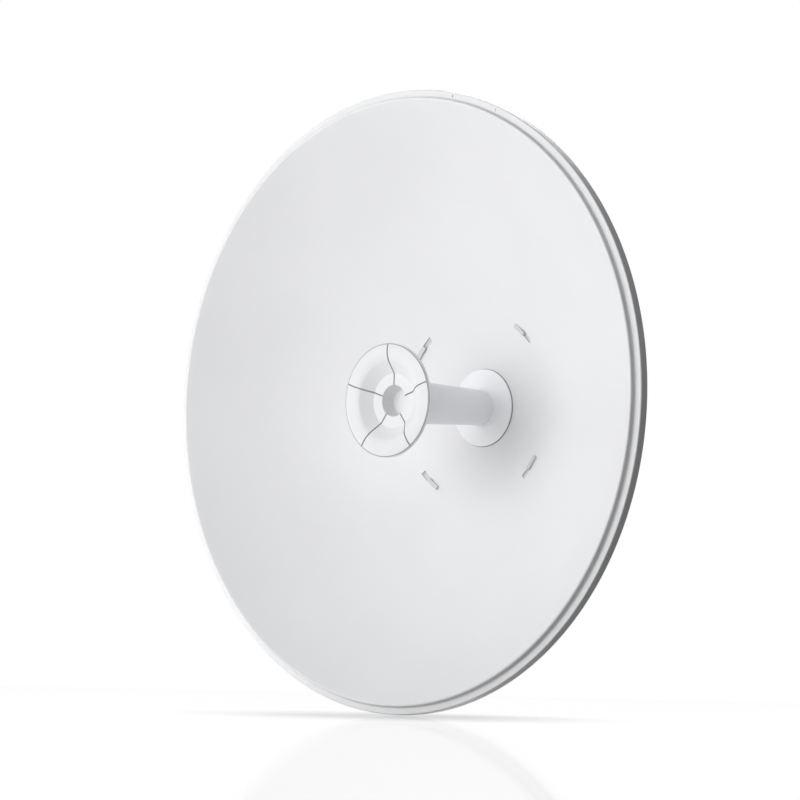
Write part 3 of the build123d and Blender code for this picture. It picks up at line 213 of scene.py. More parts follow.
# %% Soft lamps
def soft_lamp(name, towards, distance, size, watts):
    """A square area lamp standing in the given direction from the dish, aimed at it."""
    data = bpy.data.lights.new(name, "AREA")
    data.size = size
    data.energy = watts
    lamp = bpy.data.objects.new(name, data)
    way = Vector(towards).normalized()
    lamp.location = aim + way * distance
    lamp.rotation_mode = "QUATERNION"
    lamp.rotation_quaternion = way.to_track_quat("Z", "Y")
    scene.collection.objects.link(lamp)


soft_lamp("key_softbox", (-0.2, -1.0, 0.0), distance=3.2, size=2.4, watts=58)
soft_lamp("top_softbox", (-0.4, -0.2, 1.0), distance=2.6, size=1.6, watts=2)
soft_lamp("back_softbox", (-0.6, 1.0, 0.7), distance=3.0, size=2.0, watts=55)

# %% [markdown]
# ## Floor
# The dish stands on a white glossy sheet. Far from it the sheet is seen as plain white
# with a small share of mirror, which gives the faint upside-down rim. Close under the
# rim a glow would wash out the shadow, so within a soft oval round the rim's lowest
# point the glow weakens and a matt surface takes its place; the weaker glow also paints
# a soft shade of its own there. The oval is fixed to the floor, four times as long as
# wide and turned by the camera's yaw, so this painted shade is long along the line of
# sight. What the floor throws back at the object is set apart: it comes from
# the front left only, and on the right the floor acts as a black card.

# %% Floor sheet
floor_height = dish_low.z - 0.6 * mm
floor_reach = 12.0
floor_mesh = bpy.data.meshes.new("floor")
floor_mesh.from_pydata(
    [(x * floor_reach, y * floor_reach, floor_height) for x, y in ((-1, -1), (1, -1), (1, 1), (-1, 1))],
    [],
    [(0, 1, 2, 3)],
)
floor = bpy.data.objects.new("floor", floor_mesh)
scene.collection.objects.link(floor)
print("floor at z =", round(floor_height, 4))

# %% Floor material: an oval of painted shade, a glow and a mirror
white_floor = bpy.data.materials.new("white_floor")
white_floor.use_nodes = True
sheet = white_floor.node_tree
sheet.nodes.clear()
spot_on_floor = sheet.nodes.new("ShaderNodeTexCoord").outputs["Object"]


def diffuse_plus_glow(albedo, glow):
    """A matt surface with an even glow added, each driven by a number."""
    matt = sheet.nodes.new("ShaderNodeBsdfDiffuse")
    shine = sheet.nodes.new("ShaderNodeEmission")
    both = sheet.nodes.new("ShaderNodeAddShader")
    sheet.links.new(albedo, matt.inputs["Color"])
    sheet.links.new(glow, shine.inputs["Strength"])
    sheet.links.new(matt.outputs[0], both.inputs[0])
    sheet.links.new(shine.outputs[0], both.inputs[1])
    return both.outputs[0]


# The oval of painted shade: its width, its stretch along the camera's yaw, and its centre under the rim's
# lowest point.
oval_width, oval_stretch = 0.26, 4
oval_centre = (0, lip_front + 10 * mm, floor_height)
matt_under_rim, glow_under_rim = 0.6, 0.3
oval = sheet.nodes.new("ShaderNodeMapping")
oval.vector_type = "TEXTURE"
oval.inputs["Location"].default_value = oval_centre
oval.inputs["Rotation"].default_value = (0, 0, yaw)
oval.inputs["Scale"].default_value = (1, oval_stretch, 1)
sheet.links.new(spot_on_floor, oval.inputs["Vector"])
from_rim = sheet.nodes.new("ShaderNodeVectorMath")
from_rim.operation = "LENGTH"
sheet.links.new(oval.outputs["Vector"], from_rim.inputs[0])
# Inside the oval the glow falls to glow_under_rim, which is painted shade, and the matt part takes the real
# shadow.
seen_floor = diffuse_plus_glow(
    ramp(sheet, from_rim.outputs["Value"], 0.0, oval_width, matt_under_rim, 0.0, smooth=True),
    ramp(sheet, from_rim.outputs["Value"], 0.0, oval_width, glow_under_rim, 1.0, smooth=True),
)
mirror_share = 0.2
mirror = sheet.nodes.new("ShaderNodeBsdfGlossy")
mirror.inputs["Color"].default_value = (1, 1, 1, 1)
mirror.inputs["Roughness"].default_value = 0.03
glossy_floor = mix_shaders(sheet, mirror_share, seen_floor, mirror.outputs[0])

front_left, card_ends = (-0.5, -0.86, 0), 0.7
card_albedo, sheet_albedo, sheet_glow = 0.08, 0.95, 0.4
to_front_left = along(sheet, spot_on_floor, front_left)
lighting_floor = diffuse_plus_glow(
    ramp(sheet, to_front_left, 0.0, card_ends, card_albedo, sheet_albedo, smooth=True),
    ramp(sheet, to_front_left, 0.0, card_ends, 0.0, sheet_glow, smooth=True),
)
floor_out = sheet.nodes.new("ShaderNodeOutputMaterial")
floor_look = mix_shaders(sheet, shows_backdrop(sheet), lighting_floor, glossy_floor)
sheet.links.new(floor_look, floor_out.inputs["Surface"])
floor_mesh.materials.append(white_floor)
print("floor nodes:", len(sheet.nodes))

# %% [markdown]
# ## One way to draw every turned part
# A spun dish, a moulded tube and a pressed disc are all the same idea: an outline
# carried round an axis. An outline is an array of (radius, y) pairs. Its corners are
# real bends, so each is replaced by an arc of a given radius, which is what catches
# the light along an edge. A last helper turns an inside-out mesh the right way round
# by the sign of its volume.

# %% Helpers: outlines
def rounded(corners, steps=6):
    """Corners (radius, y, bend) joined by straight runs, each bend an arc tangent to both runs.

    The arc's centre lies at bend / cos(half the turn) along the corner's inner
    bisector, and its points are the spherical blend of the two unit spokes.
    """
    spots = np.array([c[:2] for c in corners], float)
    path = [spots[0]]
    for before, here, after, corner in zip(spots, spots[1:], spots[2:], corners[1:-1]):
        coming = (here - before) / np.linalg.norm(here - before)
        going = (after - here) / np.linalg.norm(after - here)
        turn = math.acos(max(-1.0, min(1.0, float(coming @ going))))
        bend = corner[2]
        if bend <= 0 or turn < 1e-3:
            path.append(here)
            continue
        inner = (going - coming) / np.linalg.norm(going - coming)
        centre = here + inner * bend / math.cos(turn / 2)
        first = here - coming * bend * math.tan(turn / 2) - centre
        last = here + going * bend * math.tan(turn / 2) - centre
        share = np.linspace(0, 1, steps + 1)[:, None]
        arc = np.sin((1 - share) * turn) * first + np.sin(share * turn) * last
        path.extend(centre + arc / math.sin(turn))
    path.append(spots[-1])
    return np.array(path)


def square_off(path):
    """Offsets one unit long, square to an outline: the mean normal of the two runs at each point.

    Dividing that mean by its squared length keeps both walls one unit thick at a bend.
    """
    run = np.diff(path, axis=0)
    run /= np.linalg.norm(run, axis=1)[:, None]
    normal = np.stack((-run[:, 1], run[:, 0]), axis=-1)
    both = np.concatenate((normal[:1], (normal[:-1] + normal[1:]) / 2, normal[-1:]))
    return both / np.sum(both * both, axis=1)[:, None]


def turned_points(outline, angles):
    """Grid of points: x = radius sin(angle), z = radius cos(angle), y as the outline gives."""
    radius = outline[:, :1]
    y = np.broadcast_to(outline[:, 1:], (len(outline), len(angles)))
    return np.stack((radius * np.sin(angles), y, radius * np.cos(angles)), axis=-1)


# %% Helpers: faces
def grid_quads(rows, columns, close_rows=False):
    """Corner indices of a grid's cells; the columns close into a ring, and the rows too if asked."""
    row = np.arange(rows if close_rows else rows - 1)[:, None]
    column = np.arange(columns)[None, :]
    here, below = row * columns, (row + 1) % rows * columns
    after = (column + 1) % columns
    return np.stack((here + column, here + after, below + after, below + column), axis=-1).reshape(-1, 4)


def fan(pole, first, count, backwards=False):
    """Triangles that join a ring of points, numbered on from first, to one pole."""
    here = first + np.arange(count)
    after = first + (np.arange(count) + 1) % count
    pair = (after, here) if backwards else (here, after)
    return np.stack((np.full(count, pole), *pair), axis=-1)


def mesh_volume(points, faces):
    """Signed volume: the sum of the triple products of each face's fan of triangles, over six."""
    total = 0.0
    for k in range(1, faces.shape[1] - 1):
        a, b, c = points[faces[:, 0]], points[faces[:, k]], points[faces[:, k + 1]]
        total += float(np.einsum("ij,ij->i", a, np.cross(b, c)).sum()) / 6
    return total


def open_edges(face_sets):
    """How many edges are used by one face only; a closed surface has none."""
    edges = np.concatenate([np.stack((f, np.roll(f, -1, axis=1)), axis=-1).reshape(-1, 2) for f in face_sets])
    edges = edges[edges[:, 0] != edges[:, 1]]
    _, uses = np.unique(np.sort(edges, axis=1), axis=0, return_counts=True)
    return int((uses == 1).sum())


# %% Helpers: pieces
def make_piece(name, points, face_sets, body, replaced, crease=32):
    """A closed mesh from points and arrays of faces, turned outwards, smooth with creases."""
    if sum(mesh_volume(points, faces) for faces in face_sets) < 0:
        face_sets = [faces[:, ::-1] for faces in face_sets]
    mesh = bpy.data.meshes.new(name)
    mesh.from_pydata(points.tolist(), [], [f for faces in face_sets for f in faces.tolist()])
    mesh.shade_smooth()
    mesh.set_sharp_from_angle(angle=math.radians(crease))
    piece = bpy.data.objects.new(name, mesh)
    scene.collection.objects.link(piece)
    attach(piece, body)
    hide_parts(replaced)
    print(name, "faces:", len(mesh.polygons), "open edges:", open_edges(face_sets))
    return piece


def turned_ring(name, outline, body, replaced, columns=240):
    """A ring: a closed outline that never meets the axis, carried once round."""
    angles = np.linspace(0, 2 * np.pi, columns, endpoint=False)
    points = turned_points(outline, angles).reshape(-1, 3)
    return make_piece(name, points, [grid_quads(len(outline), columns, True)], body, replaced)


# %% [markdown]
# ## The dish
# A real dish of this kind is spun or pressed from one aluminium sheet: a parabola,
# then a tight lip, a short wall stepping back, a flat flange and a rolled hem. Its
# front is a grid of rings and spokes. The grid gets extra lines along the edges of
# the four twist-lock slots, so a slot is simply the cells left out. Round the two rim
# holes a block of cells is bent from a square to a circle. The back is the same grid
# moved by the sheet's thickness, and every open edge gets a wall between the two.

# %% Dish: rings
join_radius, wall_radius, step_radius = 311 * mm, 316.2 * mm, 316.6 * mm
join_slope = join_radius / (2 * focal_length)
rim_flange_y = lip_front + 5.9 * mm
lip_bend, step_bend, hem_bend = 2.0 * mm, 1.6 * mm, 1.4 * mm
hem_depth, hem_flare = 9.2 * mm, 0.3 * mm
hub_hole_radius = 38.6 * mm
slot_inner, slot_outer = 97.4 * mm, 102.6 * mm
rim_hole_ring = (step_radius + rim_radius) / 2
rim_hole_radius = 1.5 * mm
cell = 0.567 * mm
block = np.arange(-3, 4) * cell
block_half = 1.75 * mm

bowl_rings = np.unique(
    np.concatenate((
        np.linspace(hub_hole_radius, slot_inner, 14),
        np.linspace(slot_inner, slot_outer, 3),
        np.linspace(slot_outer, join_radius, 42),
    )).round(7)
)
rim_path = rounded([
    (join_radius, bowl(join_radius), 0),
    (wall_radius, bowl(join_radius) - join_slope * (wall_radius - join_radius), lip_bend),
    (step_radius, rim_flange_y, step_bend),
    (rim_radius, rim_flange_y, hem_bend),
    (rim_radius + hem_flare, rim_flange_y + hem_depth, 0),
])
from_hole_ring = rim_path[:, 0] - rim_hole_ring
dish_front = np.concatenate((
    np.stack((bowl_rings, bowl(bowl_rings)), axis=-1),
    rim_path[from_hole_ring <= -block_half][1:],
    np.stack((rim_hole_ring + block, np.full(len(block), rim_flange_y)), axis=-1),
    rim_path[from_hole_ring >= block_half],
))
print("rings:", len(dish_front))

# %% Dish: spokes
slot_starts = np.radians(38 + 90 * np.arange(4))
slot_sweep = math.radians(9.8)
hole_angles = np.radians([11.25, 22.5])
too_close = math.radians(0.3)
wanted = np.concatenate((
    np.concatenate([angle + block / rim_hole_ring for angle in hole_angles]),
    slot_starts,
    slot_starts + slot_sweep,
))
plain = np.radians(np.arange(0, 360, 1.0))
apart = np.abs((plain[:, None] - wanted[None, :] + np.pi) % (2 * np.pi) - np.pi).min(axis=1)
spokes = np.sort(np.concatenate((plain[apart > too_close], wanted)))
print("spokes:", len(spokes))

# %% Dish: rim holes bent from squares to circles
radius_grid, spoke_grid = np.meshgrid(dish_front[:, 0], spokes, indexing="ij")
on_flange = dish_front[:, 1][:, None] == rim_flange_y
hidden = np.zeros(radius_grid.shape, bool)
square_half, close_enough = 2, 0.01
for angle in hole_angles:
    ring_step = (radius_grid - rim_hole_ring) / cell
    spoke_step = (spoke_grid - angle) * rim_hole_ring / cell
    square = np.maximum(np.abs(ring_step), np.abs(spoke_step))
    edge = (np.abs(square - square_half) < close_enough) & on_flange
    circle = np.hypot(ring_step, spoke_step) + 1e-9
    shrink = np.where(edge, rim_hole_radius / (circle * cell), 1.0)
    radius_grid = rim_hole_ring + (radius_grid - rim_hole_ring) * shrink
    spoke_grid = angle + (spoke_grid - angle) * shrink
    hidden |= (square < square_half + close_enough) & on_flange
print("points in or on a rim hole:", int(hidden.sum()))


# %% Dish: slots, back and walls
def thicken(points, offsets, faces):
    """A shell: the points, the same points moved by their offsets, and a wall on each open edge."""
    count = len(points)
    edges = np.stack((faces, np.roll(faces, -1, axis=1)), axis=-1).reshape(-1, 2)
    key = edges[:, 0] * count + edges[:, 1]
    lone = edges[~np.isin(key, edges[:, 1] * count + edges[:, 0])]
    wall = np.stack((lone[:, 1], lone[:, 0], lone[:, 0] + count, lone[:, 1] + count), axis=-1)
    return np.concatenate((points, points + offsets)), np.concatenate((faces, faces[:, ::-1] + count, wall))


def round_axis(outline):
    """Points of a grid whose spokes may differ from ring to ring: x and z from sine and cosine."""
    y = np.broadcast_to(outline[..., 1], spoke_grid.shape)
    return np.stack((outline[..., 0] * np.sin(spoke_grid), y, outline[..., 0] * np.cos(spoke_grid)), axis=-1)


bent_rings = np.stack((radius_grid, np.broadcast_to(dish_front[:, 1:], radius_grid.shape)), axis=-1)
dish_points = round_axis(bent_rings).reshape(-1, 3)
offsets = round_axis((square_off(dish_front) * sheet_thickness)[:, None, :]).reshape(-1, 3)
dish_faces = grid_quads(len(dish_front), len(spokes))

just_past = 0.001
ring_of, spoke_of = dish_faces[:, 0] // len(spokes), dish_faces[:, 0] % len(spokes)
ring_middle = (dish_front[:, 0][ring_of] + dish_front[:, 0][ring_of + 1]) / 2
into_slot = (spokes[spoke_of][:, None] + just_past - slot_starts[None, :]) % (2 * np.pi)
in_slot = (ring_middle > slot_inner) & (ring_middle < slot_outer) & (into_slot < slot_sweep).any(axis=1)
in_hole = hidden.reshape(-1)[dish_faces].all(axis=1)
kept, dish_faces = np.unique(dish_faces[~in_slot & ~in_hole], return_inverse=True)
shell_points, shell_faces = thicken(dish_points[kept], offsets[kept], dish_faces.reshape(-1, 4))
dish = make_piece(
    "dish_sheet", shell_points, [shell_faces], "reflector", "reflector_dish", crease=40
)

# %% [markdown]
# ## Collar, gasket and tube
# The radio's front flange is a collar with a raised boss that flares up to the tube.
# Each outline is a closed loop. The tube is a slow cone, wider at its head, and its
# open end is hidden inside the disc. The gasket is squeezed a little out from under
# the collar, which is what draws the thin dark line round it.

# %% Tube
tube_low, tube_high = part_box("feed_tube")
root_radius, head_radius, tube_wall = 18.4 * mm, 23.5 * mm, 2.0 * mm


def tube_radius(y):
    """Outer radius of the tube: a straight line in y from its root to its head."""
    return float(np.interp(y, [tube_low.y, tube_high.y], [head_radius, root_radius]))


tube_line = np.array([
    (root_radius, tube_high.y),
    (head_radius, tube_low.y),
    (head_radius - tube_wall, tube_low.y),
    (root_radius - tube_wall, tube_high.y),
])
feed_tube = turned_ring("tapered_tube", tube_line, "tilt_head", "feed_tube")

# %% Collar: a flare, a shallow dome and a spigot
collar_low, collar_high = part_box("feed_collar")
collar_radius = collar_high.x
boss_radius, boss_height, boss_lip = 23.4 * mm, 3.6 * mm, 0.8 * mm
dome_height, dome_margin = 0.6 * mm, 0.5 * mm
edge_inset, edge_drop, edge_height = 0.4 * mm, 0.3 * mm, 1.5 * mm
spigot_radius, spigot_bore = 33.8 * mm, 31.3 * mm
hair_gap = 0.02 * mm
boss_front = collar_low.y
boss_foot = boss_front + boss_height
collar_front = boss_foot + dome_height
collar_back = collar_front + edge_height

flare_start = tube_radius(boss_front) + boss_lip
sweep = np.linspace(0, 1, 13)[:, None] * math.pi / 2
flare = np.concatenate((
    flare_start + (boss_radius - flare_start) * (1 - np.cos(sweep)),
    boss_front + boss_height * np.sin(sweep),
), axis=1)
dome_share = np.linspace(0, 1, 9)[1:, None]
dome = np.concatenate((
    boss_radius + (collar_radius - dome_margin - boss_radius) * dome_share,
    boss_foot + dome_height * dome_share**2,
), axis=1)
collar_line = np.concatenate((
    [(tube_radius(boss_front) + hair_gap, boss_front)],
    flare,
    dome,
    [
        (collar_radius - edge_inset, collar_front),
        (collar_radius, collar_front + edge_drop),
        (collar_radius, collar_back),
        (spigot_radius, collar_back),
        (spigot_radius, collar_high.y),
        (spigot_bore, collar_high.y),
        (spigot_bore, tube_high.y),
        (root_radius + hair_gap, tube_high.y),
    ],
))
feed_collar = turned_ring("flared_collar", collar_line, "tilt_head", "feed_collar")
print("collar radius:", round(collar_radius * 1000, 2), "mm")

# %% Gasket
_, gasket_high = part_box("collar_gasket")
gasket_inner = hub_hole_radius + 0.1 * mm
gasket_outer = gasket_high.x + 0.2 * mm
into_bowl = 0.1 * mm
gasket_line = np.array([
    (gasket_inner, gasket_high.y - hair_gap),
    (gasket_inner, collar_back),
    (gasket_outer, collar_back),
    (gasket_outer, float(bowl(gasket_outer)) - into_bowl),
])
gasket_ring = turned_ring("gasket_ring", gasket_line, "tilt_head", "collar_gasket")

# %% [markdown]
# ## Disc and its moulded cap
# The disc at the tube's end is pressed sheet: a flat rim, a cone running in, and a
# seat on the tube. A moulded cap closes its front, with a cup in the middle and five
# fine channels running out to the rim. The cap's grid is polar, but beside each
# channel its spokes run parallel, at fixed distances from the channel's middle line,
# so the channel keeps its width all the way out. A channel is a groove whose depth is
# a smooth step of that distance. Shade is painted into the grooves and onto the cap's
# sharp outer edge: their points carry a number that the finish turns into a dark line.

# %% Disc
disc_low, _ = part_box("sub_reflector")
disc_front = disc_low.y
disc_sheet, disc_bend = 1.4 * mm, 2.1 * mm
seat_y = disc_front + 11.1 * mm
seat_inner, cone_inner, cone_outer, disc_radius = 23.5 * mm, 28.4 * mm, 50.2 * mm, 59.7 * mm
disc_path = rounded([
    (seat_inner, seat_y, 0),
    (cone_inner, seat_y, disc_bend),
    (cone_outer, disc_front, disc_bend),
    (disc_radius, disc_front, 0),
])
disc_back = disc_path + square_off(disc_path) * disc_sheet
disc_line = np.concatenate((disc_path, disc_back[::-1]))
disc = turned_ring("pressed_disc", disc_line, "tilt_head", "sub_reflector")

# %% Cap: its outline from the cup out to the edge and back
cap_radius, cap_wall, cap_clearance = 58.9 * mm, 2 * mm, 0.05 * mm
cup_radius, cup_taper, cup_depth = 16.4 * mm, 2 * mm, 16.0 * mm
cup_bend, mouth_bend, funnel_bend = 1.5 * mm, 0.8 * mm, 1.5 * mm
ring_y = disc_front + 9.0 * mm
cup_floor = ring_y + cup_depth
funnel_share = 0.57
funnel_top = cone_inner + (cone_outer - cone_inner) * funnel_share
crown_width = cap_radius - funnel_top
crown_lean, crown_swell = 1.2 * mm, 7.1 * mm
cap_edge_y = disc_front - crown_lean
edge_line, edge_blend, edge_step = 0.8 * mm, 0.15 * mm, 0.1 * mm
even_rows_end, longest_run = 1.2 * mm, 1.5 * mm

cap_path = rounded([
    (0, cup_floor, 0),
    (cup_radius - cup_taper, cup_floor, cup_bend),
    (cup_radius, ring_y, mouth_bend),
    (cone_inner, ring_y, funnel_bend),
    (funnel_top, disc_front, 0),
])
crown_share = np.concatenate((
    np.linspace(0, 1 - even_rows_end / crown_width, 24)[1:],
    1 - np.array([edge_line + edge_blend, edge_line, 0]) / crown_width,
))[:, None]
crown = np.concatenate((
    funnel_top + crown_width * crown_share,
    disc_front - crown_lean * crown_share - crown_swell * crown_share * (1 - crown_share),
), axis=1)
coarse = np.concatenate((cap_path, crown))
fine = [coarse[0]]
for start, end in zip(coarse, coarse[1:]):
    runs = max(1, int(np.linalg.norm(end - start) / longest_run))
    fine.extend(start + (end - start) * k / runs for k in range(1, runs + 1))
cap_back_line = np.array([
    (cap_radius, cap_edge_y + edge_step),
    (cap_radius, disc_front - cap_clearance),
    (cone_outer, disc_front - cap_clearance),
    (cone_inner, ring_y + cap_wall),
    (cup_radius + cap_wall, ring_y + cap_wall),
    (cup_radius, cup_floor + cap_wall),
    (0, cup_floor + cap_wall),
])
cap_line = np.concatenate((fine, cap_back_line))
print("cap rings:", len(cap_line))

# %% Cap: spokes that run beside the channels, and the channels' depth
channel_angles = np.radians(np.arange(5) * 72)
channel_depth, channel_half, channel_flank = 1.2 * mm, 0.8 * mm, 0.2 * mm
beside = np.array([-0.95, -0.8, -0.6, 0, 0.6, 0.8, 0.95]) * mm
between = np.radians(np.linspace(4, 68, 23))
far_off = 5 * mm
channel_end, end_blend, cup_blend = 58.3 * mm, 0.4 * mm, 0.5 * mm

cap_radii = cap_line[:, 0]
no_less_than_cup = np.maximum(cap_radii, cup_radius)[:, None]
spoke_sets, distance_sets = [], []
for angle in channel_angles:
    spoke_sets.append(angle + np.arcsin(beside[None, :] / no_less_than_cup))
    spoke_sets.append(np.broadcast_to(angle + between, (len(cap_line), len(between))))
    distance_sets += [np.abs(beside), np.full(len(between), far_off)]
cap_spokes = np.concatenate(spoke_sets, axis=1)
groove = np.clip((channel_half - np.concatenate(distance_sets)) / channel_flank, 0, 1)
groove = groove * groove * (3 - 2 * groove)
past_cup = np.clip((cap_radii - cup_radius) / cup_blend, 0, 1)
before_end = np.clip((channel_end - cap_radii) / end_blend, 0, 1)
on_front = np.arange(len(cap_line)) < len(fine)
in_channel = (past_cup * before_end * on_front)[:, None] * groove[None, :]

# %% Cap: points, faces and the painted-shade attribute
cap_grid = np.stack((
    cap_line[:, :1] * np.sin(cap_spokes),
    cap_line[:, 1:] + channel_depth * in_channel,
    cap_line[:, :1] * np.cos(cap_spokes),
), axis=-1)
middle_rows = cap_grid[1:-1].reshape(-1, 3)
cap_points = np.concatenate((middle_rows, cap_grid[:1, 0], cap_grid[-1:, 0]))
columns = cap_spokes.shape[1]
cap_faces = [
    grid_quads(len(cap_line) - 2, columns),
    fan(len(middle_rows), 0, columns, backwards=True),
    fan(len(middle_rows) + 1, len(middle_rows) - columns, columns),
]
cap = make_piece(
    "channelled_cap", cap_points, cap_faces, "tilt_head", "sub_reflector_cap", crease=38
)
# Painted shade: points in the grooves and on the cap's sharp outer edge get a value from 0 to 1 that darkens
# the cap's colour.
rounding = 0.01 * mm
in_edge_line = np.hypot(cap_points[:, 0], cap_points[:, 2]) > cap_radius - edge_line - rounding
at_edge = in_edge_line & (cap_points[:, 1] < cap_edge_y + edge_step / 2)
dark = at_edge.astype(float)
dark[: len(middle_rows)] += in_channel[1:-1].reshape(-1)
painted_shade_line = cap.data.attributes.new("painted_shade_line", "FLOAT", "POINT")
painted_shade_line.data.foreach_set("value", np.clip(dark, 0, 1))
print("points in a channel:", int((in_channel > 0.5).sum()), "at the edge:", int(at_edge.sum()))

# %% [markdown]
# ## Threaded clamp bolts
# Four long carriage bolts pull the clamp's jaw onto the pole. The CAD bolts are plain
# rods. A real thread is one ridge wound round the rod, so the rod's radius depends on
# how far the point is along the ridge: position along the bolt in pitches, less the
# turn round it. A grid with a few rows to each pitch shows that, and no boolean cuts
# are needed. The dome and the shank are the first rows of the same grid.

# %% Clamp bolts: one bolt
bolt_low, bolt_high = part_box("clamp_bolts")
dome_radius, dome_rise, dome_edge = 7.5 * mm, 2.4 * mm, 1.0 * mm
shank_radius, bolt_tip_radius, tip_length = 4 * mm, 3.2 * mm, 0.8 * mm
thread_pitch, thread_depth, thread_length, thread_rows = 1.25 * mm, 0.65 * mm, 68 * mm, 216
under_dome = bolt_low.y + dome_rise + dome_edge
thread_start = bolt_high.y - thread_length
shank_end = thread_start - 1 * mm
nearly_pole, hair = 0.06, 0.1 * mm
dome_turn = np.linspace(nearly_pole, 1, 7) * math.pi / 2
dome_y = under_dome - dome_edge - dome_rise * np.cos(dome_turn)
thread_y = np.linspace(thread_start, bolt_high.y - tip_length, thread_rows)
bolt_line = np.concatenate((
    np.stack((dome_radius * np.sin(dome_turn), dome_y), axis=-1),
    [(dome_radius, under_dome), (shank_radius, under_dome), (shank_radius, shank_end)],
    np.stack((np.full(thread_rows, shank_radius), thread_y), axis=-1),
    [(bolt_tip_radius, bolt_high.y)],
))
sides = 20
turns = np.linspace(0, 2 * np.pi, sides, endpoint=False)
bolt_y = bolt_line[:, 1:]
ridge = (bolt_y - thread_start) / thread_pitch - turns / (2 * np.pi)
cut = thread_depth * np.abs(2 * (ridge % 1) - 1)
threaded = (bolt_y > thread_start - hair) & (bolt_y < bolt_high.y - hair)
bolt_radii = bolt_line[:, :1] - cut * threaded
one_bolt = np.concatenate((
    np.stack((
        bolt_radii * np.sin(turns),
        np.broadcast_to(bolt_y, bolt_radii.shape),
        bolt_radii * np.cos(turns),
    ), axis=-1).reshape(-1, 3),
    [(0, bolt_low.y + hair / 10, 0), (0, bolt_high.y, 0)],
))
print("points in one bolt:", len(one_bolt))

# %% Clamp bolts: four of them
bolt_x, bolt_z = bolt_high.x - dome_radius, bolt_high.z - dome_radius
places = np.array([(x, 0, z) for x in (-bolt_x, bolt_x) for z in (-bolt_z, bolt_z)])
all_bolts = (one_bolt[None] + places[:, None]).reshape(-1, 3)
shift = (np.arange(len(places)) * len(one_bolt))[:, None, None]
top_row = (len(bolt_line) - 1) * sides
bolt_cells = grid_quads(len(bolt_line), sides)
bolt_fans = np.concatenate((
    fan(len(one_bolt) - 2, 0, sides, backwards=True),
    fan(len(one_bolt) - 1, top_row, sides),
))
clamp_bolts = make_piece(
    "threaded_clamp_bolts", all_bolts,
    [(bolt_cells[None] + shift).reshape(-1, 4), (bolt_fans[None] + shift).reshape(-1, 3)],
    "pole_mount", "clamp_bolts", crease=50,
)

# %% [markdown]
# ## Release spring
# The spring round the release plunger shortens when the plunger is pulled. Here it is a fixed coil of wire
# with a mesh of its own.

# %% Release spring
spring_low, spring_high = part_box("release_spring")
wire_radius = 0.45 * mm
spring_middle = (spring_low + spring_high) / 2
coil_radius = (spring_high.x - spring_low.x) / 2 - wire_radius
coil_turns, round_turn, round_wire = 5, 28, 10


def coil(turn, around):
    """A helix whose height grows evenly with its turn, with a wire's circle round it.

    The circle is measured outwards from the helix's axis and along that axis.
    """
    out = coil_radius + wire_radius * np.cos(around)
    height = spring_low.z + wire_radius + (spring_high.z - spring_low.z - 2 * wire_radius) * turn / coil_turns
    angle = 2 * np.pi * turn
    return np.stack((
        spring_middle.x + out * np.cos(angle),
        spring_middle.y + out * np.sin(angle),
        height + wire_radius * np.sin(around),
    ), axis=-1)


along_wire = np.linspace(0, coil_turns, coil_turns * round_turn + 1)[:, None]
around_wire = np.linspace(0, 2 * np.pi, round_wire, endpoint=False)[None, :]
wire_points = coil(along_wire, around_wire).reshape(-1, 3)
first_end = np.arange(round_wire)
last_end = first_end + len(wire_points) - round_wire
coil_spring = make_piece(
    "coil_spring", wire_points,
    [grid_quads(len(along_wire), round_wire), first_end[None, :], last_end[None, ::-1]],
    "tilt_head", "release_spring",
)
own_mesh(coil_spring)

# %% [markdown]
# ## Shared surface effects
# Paint, moulded plastic, cast metal and zinc all have two things that a flat colour
# lacks: a fine relief that breaks up the highlight, and a slow drift of tone. Each
# is a node group that reads a point on the object and puts out plain values, so the
# Principled shader, with its own gloss and metal settings, stays in the material.

# %% Helpers for node groups
def new_group(name, inputs, outputs):
    """An empty shader group with float or vector inputs and float outputs."""
    group = bpy.data.node_groups.new(name, "ShaderNodeTree")
    for label, kind, value in inputs:
        socket = group.interface.new_socket(label, in_out="INPUT", socket_type=kind)
        if value is not None:
            socket.default_value = value
    for label in outputs:
        group.interface.new_socket(label, in_out="OUTPUT", socket_type="NodeSocketFloat")
    return group, group.nodes.new("NodeGroupInput"), group.nodes.new("NodeGroupOutput")


def texture(group, kind, source, scale_from):
    """A texture node on the group's Point, whose scale comes from a named input of the group."""
    node = group.nodes.new(kind)
    group.links.new(source.outputs["Point"], node.inputs["Vector"])
    group.links.new(source.outputs[scale_from], node.inputs["Scale"])
    return node


def noise(group, source, scale_from, detail, roughness=0.5):
    """A Noise texture stretched from its usual 0.3 to 0.7, because noise rarely reaches its ends."""
    node = texture(group, "ShaderNodeTexNoise", source, scale_from)
    node.inputs["Detail"].default_value = detail
    node.inputs["Roughness"].default_value = roughness
    return ramp(group, node.outputs["Fac"], 0.3, 0.7)


point_and_scales = [
    ("Point", "NodeSocketVector", None),
    ("Fine Scale", "NodeSocketFloat", 900.0),
    ("Broad Scale", "NodeSocketFloat", 9.0),
]

# %% Paint, zinc and cast skins
skin, skin_in, skin_out = new_group("paint_and_moulded_skin", point_and_scales, ["Relief", "Tone"])
skin.links.new(noise(skin, skin_in, "Fine Scale", 3), skin_out.inputs["Relief"])
skin.links.new(noise(skin, skin_in, "Broad Scale", 4), skin_out.inputs["Tone"])

spangle, spangle_in, spangle_out = new_group("zinc_spangle", point_and_scales, ["Relief", "Tone"])
crystals = texture(spangle, "ShaderNodeTexVoronoi", spangle_in, "Broad Scale")
crystal_value = spangle.nodes.new("ShaderNodeSeparateColor")
spangle.links.new(crystals.outputs["Color"], crystal_value.inputs["Color"])
spangle.links.new(crystal_value.outputs["Red"], spangle_out.inputs["Tone"])
spangle.links.new(noise(spangle, spangle_in, "Fine Scale", 2), spangle_out.inputs["Relief"])

